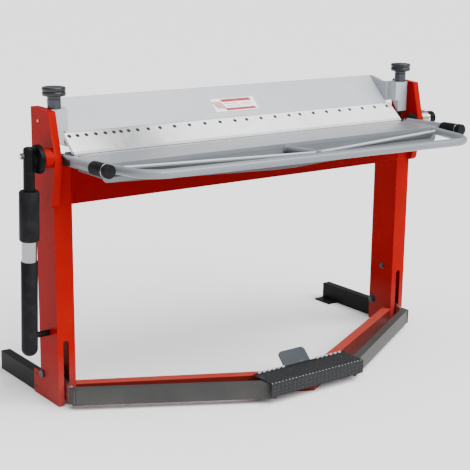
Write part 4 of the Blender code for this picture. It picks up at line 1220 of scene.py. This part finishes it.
    def add_end_stops(self) -> None:
        """The small adjusting screw at the left end of the bending line, and the tick on the right lug."""
        screw = turned((-0.592, -0.017, -0.0001), (0, 0, 1),
                       ((0, -0.0010), (0.0064, -0.0010), (0.0064, 0.0001), (0.0058, 0.0005), (0.0034, 0.0005),
                        (0.0030, -0.0004), (0, -0.0004)), 32)
        add_piece("edge_screw", screw, BRASS, Body.LEAF)
        ends = np.array([[-0.6085, -0.0172, 0.0002], [-0.6005, -0.0172, 0.0002]])
        slot = swept(ends, 0.0014, (0, 0, 1), 10)
        dome = ((0, 0), (0.0050, 0), (0.0046, 0.0022), (0, 0.0026))
        pin = turned((0.6005, -0.012, -0.0001), (0, 0, 1), dome, 24)
        add_piece("edge_pins", Surface.joined([slot, pin]), DARK_STEEL, Body.LEAF)


@dataclass
class SwingLever:
    """The hand lever clamped to the left hub disc."""

    lever_x: float = -0.7445
    lean: float = math.radians(3.4)
    grip_top: float = -0.277
    tube_radius: float = 0.0205

    def build(self) -> None:
        """Dresses the lever and adds its split collar ring and grip ribs."""
        soften("lever_arm", BLACK, Body.LEAF, 0.0007)
        soften("lever_bolt", DARK_STEEL, Body.LEAF, 0.0008)
        soften("lever_socket", RUBBER, Body.LEAF, 0.0, 40)
        soften("lever_tube", PLATED, Body.LEAF, 0.0, 40)
        soften("lever_grip", RUBBER, Body.LEAF, 0.0, 50)
        down = np.array([0.0, math.sin(self.lean), -math.cos(self.lean)])
        start = np.array([self.lever_x, 0.0, 0.0])
        rings = [band(start + down * (-self.grip_top + 0.0016), down, self.tube_radius + 0.0016, 0.0009)]
        rings += [band(start + down * reach, down, 0.0266, 0.0007) for reach in (0.0900, 0.2120)]
        add_piece("lever_rings", Surface.joined(rings), RUBBER, Body.LEAF)
        nut = turned((self.lever_x - 0.0230, 0.0, 0.012), (-1, 0, 0),
                     ((0, 0), (0.0030, 0), (0.0028, 0.0012), (0.0, 0.0012)), 6)
        add_piece("lever_bolt_centre", nut, BRIGHT, Body.LEAF)


@dataclass
class PedalFrame:
    """The foot frame: two arms, their levers, and the tread plate."""

    half: float = 0.175
    front: float = -0.322
    rear: float = -0.236
    top: float = -0.6465
    drop: float = 0.041
    mark_pitch: float = 0.0150

    def build(self) -> None:
        """Dresses the arms and the plate, and raises its tread."""
        for node in both("pedal_arm") + both("arm_cap"):
            soften(node, DARK_GREY, Body.PEDAL, 0.0020)
        for node in both("pedal_lever"):
            soften(node, STEEL, Body.PEDAL, 0.0006)
        soften("pedal_plate", TREAD, Body.PEDAL, 0.0003)
        self.add_tread()
        self.add_teeth()
        self.add_hinge_roll()

    def add_tread(self) -> None:
        """Rows of lozenges, turned 45 degrees one way and then the other, on the top and the front flange."""
        mark = lozenge(0.0052, 0.0018, 0.0010)
        across = np.arange(-self.half + 0.010, self.half - 0.006, self.mark_pitch)
        deep = np.arange(self.front + 0.009, self.rear - 0.008, self.mark_pitch * 0.62)
        x, y = (grid.ravel() for grid in np.meshgrid(across, deep))
        order = (np.arange(len(deep))[:, None] + np.arange(len(across))[None]).ravel() % 2
        flat = np.stack([x, y, np.full_like(x, self.top)], axis=-1)
        top = mark.repeated(flat, self.turns(order, np.eye(3)))
        down = np.arange(self.top - self.drop + 0.007, self.top - 0.005, self.mark_pitch * 0.70)
        x, z = (grid.ravel() for grid in np.meshgrid(across, down))
        order = (np.arange(len(down))[:, None] + np.arange(len(across))[None]).ravel() % 2
        upright = np.stack([x, np.full_like(x, self.front), z], axis=-1)
        stand_up = np.array([[1.0, 0, 0], [0, 0, -1.0], [0, 1.0, 0]])
        front = mark.repeated(upright, self.turns(order, stand_up))
        add_piece("tread_marks", Surface.joined([top, front]), WORN_TREAD, Body.PEDAL, crease=10)

    @staticmethod
    def turns(order: np.ndarray, face: np.ndarray) -> np.ndarray:
        """A 45 degree turn either way for each mark, followed by the turn of the face that it lies on."""
        angle = np.where(order == 0, np.pi / 4, -np.pi / 4)
        zero, one = np.zeros_like(angle), np.ones_like(angle)
        c, s = np.cos(angle), np.sin(angle)
        spin = np.stack([c, -s, zero, s, c, zero, zero, zero, one], axis=-1).reshape(-1, 3, 3)
        return np.einsum("ij,njk->nik", face, spin)

    def add_teeth(self) -> None:
        """Small worn teeth along the front upper edge, pale so that they also give a painted highlight along
        the fold.
        """
        tooth = lozenge(0.0030, 0.0016, 0.0015)
        x = np.arange(-self.half + 0.003, self.half - 0.002, 0.0125)
        level, forward = np.full_like(x, self.top - 0.0001), np.full_like(x, self.front + 0.0008)
        shifts = np.stack([x, forward, level], axis=-1)
        add_piece("tread_teeth", tooth.repeated(shifts), WORN_AND_HIGHLIGHT_GREY, Body.PEDAL, crease=10)

    def add_hinge_roll(self) -> None:
        """A row of short rolled knuckles along the rear lip, either side of the latch."""
        share = np.linspace(0, np.pi, 7)
        ends = np.stack([0.0036 * np.sin(share) ** 0.35, -0.0060 * np.cos(share)], axis=-1)
        ends[[0, -1], 0] = 0
        knuckle = turned((0, self.rear - 0.0010, self.top + 0.0032), (1, 0, 0), ends, 14)
        x = np.arange(0.0660, self.half - 0.004, 0.0175)
        places = np.concatenate([-x[::-1], x])
        shifts = np.stack([places, np.zeros_like(places), np.zeros_like(places)], axis=-1)
        add_piece("lip_knuckles", knuckle.repeated(shifts), WORN_AND_HIGHLIGHT_GREY, Body.PEDAL)


@dataclass
class ReleaseLatch:
    """The foot tab behind the tread plate."""

    def build(self) -> None:
        """Dresses the latch."""
        soften("release_latch", LATCH_SHADED_GREY, Body.LATCH, 0.0008)


@dataclass
class Studio:
    """The floor, the soft lights, the pale surroundings and the camera."""

    turn: float = math.radians(-36.904)
    pitch: float = math.radians(13.894)
    roll: float = math.radians(-0.673)
    lens: float = 88.3
    eye: tuple[float, float, float] = (-2.093, -2.695, 0.539)
    surround: float = 0.40

    def build(self) -> None:
        """Sets up everything round the machine."""
        self.add_floor()
        self.add_surroundings()
        self.add_sun("key", (0.30, -0.62, 0.72), 5.9, 60.0)
        self.add_sun("top", (-0.15, -0.10, 1.0), 1.7, 60.0)
        self.add_camera()

    def add_floor(self) -> None:
        """A wide flat sheet at the feet's level."""
        reach = np.array([-30.0, 30.0])
        x, y = (grid.ravel() for grid in np.meshgrid(reach, reach))
        level = CAD_BOX[0].z - 0.0002
        mesh = bpy.data.meshes.new("studio_floor")
        mesh.from_pydata(np.stack([x, y, np.full(4, level)], axis=-1).tolist(), [], [(0, 1, 3, 2)])
        mesh.materials.append(FLOOR.material())
        floor = bpy.data.objects.new("studio_floor", mesh)
        bpy.context.scene.collection.objects.link(floor)

    def add_surroundings(self) -> None:
        """White light from all round."""
        world = bpy.data.worlds.new("white room")
        world.use_nodes = True
        sky = world.node_tree.nodes["Background"]
        sky.inputs["Color"].default_value = (1.0, 1.0, 1.0, 1.0)
        sky.inputs["Strength"].default_value = self.surround
        bpy.context.scene.world = world

    def add_sun(self, name: str, towards: Point, power: float, spread: float) -> None:
        """Adds a broad distant light.

        Args:
            name: The light's name.
            towards: The direction from the machine to the light.
            power: Its power in watts on each square metre.
            spread: The width of its disc, in degrees.
        """
        lamp = bpy.data.lights.new(name, "SUN")
        lamp.energy = power
        lamp.angle = math.radians(spread)
        holder = bpy.data.objects.new(name, lamp)
        holder.rotation_euler = Vector(towards).to_track_quat("Z", "Y").to_euler()
        holder.location = Vector(DATUM.place(towards)) * 3.0
        bpy.context.scene.collection.objects.link(holder)

    def add_camera(self) -> None:
        """The camera: turned, pitched down and rolled a little about its own line of sight."""
        level = math.cos(self.pitch)
        back = Vector((math.sin(self.turn) * level, -math.cos(self.turn) * level, math.sin(self.pitch)))
        right = (-back).cross(Vector((0, 0, 1))).normalized()
        down = (-back).cross(right)
        c, s = math.cos(self.roll), math.sin(self.roll)
        right, down = c * right + s * down, -s * right + c * down
        matrix = Matrix((right, -down, back)).transposed().to_4x4()
        matrix.translation = Vector(DATUM.place(self.eye))
        lens = bpy.data.cameras.new("camera")
        lens.lens = self.lens
        lens.sensor_width = 36.0
        camera = bpy.data.objects.new("camera", lens)
        camera.matrix_world = matrix
        bpy.context.scene.collection.objects.link(camera)
        bpy.context.scene.camera = camera


def main() -> None:
    """Builds the sub-assemblies in order, and then the studio."""
    logging.basicConfig(level=logging.INFO, format="%(message)s")
    for assembly in (Stand(), ClampBeam(), PressureKnobs(), BendingLeaf(), SwingLever(), PedalFrame(),
                     ReleaseLatch(), Studio()):
        LOG.info("building %s", type(assembly).__name__)
        assembly.build()


if __name__ == "__main__":
    main()
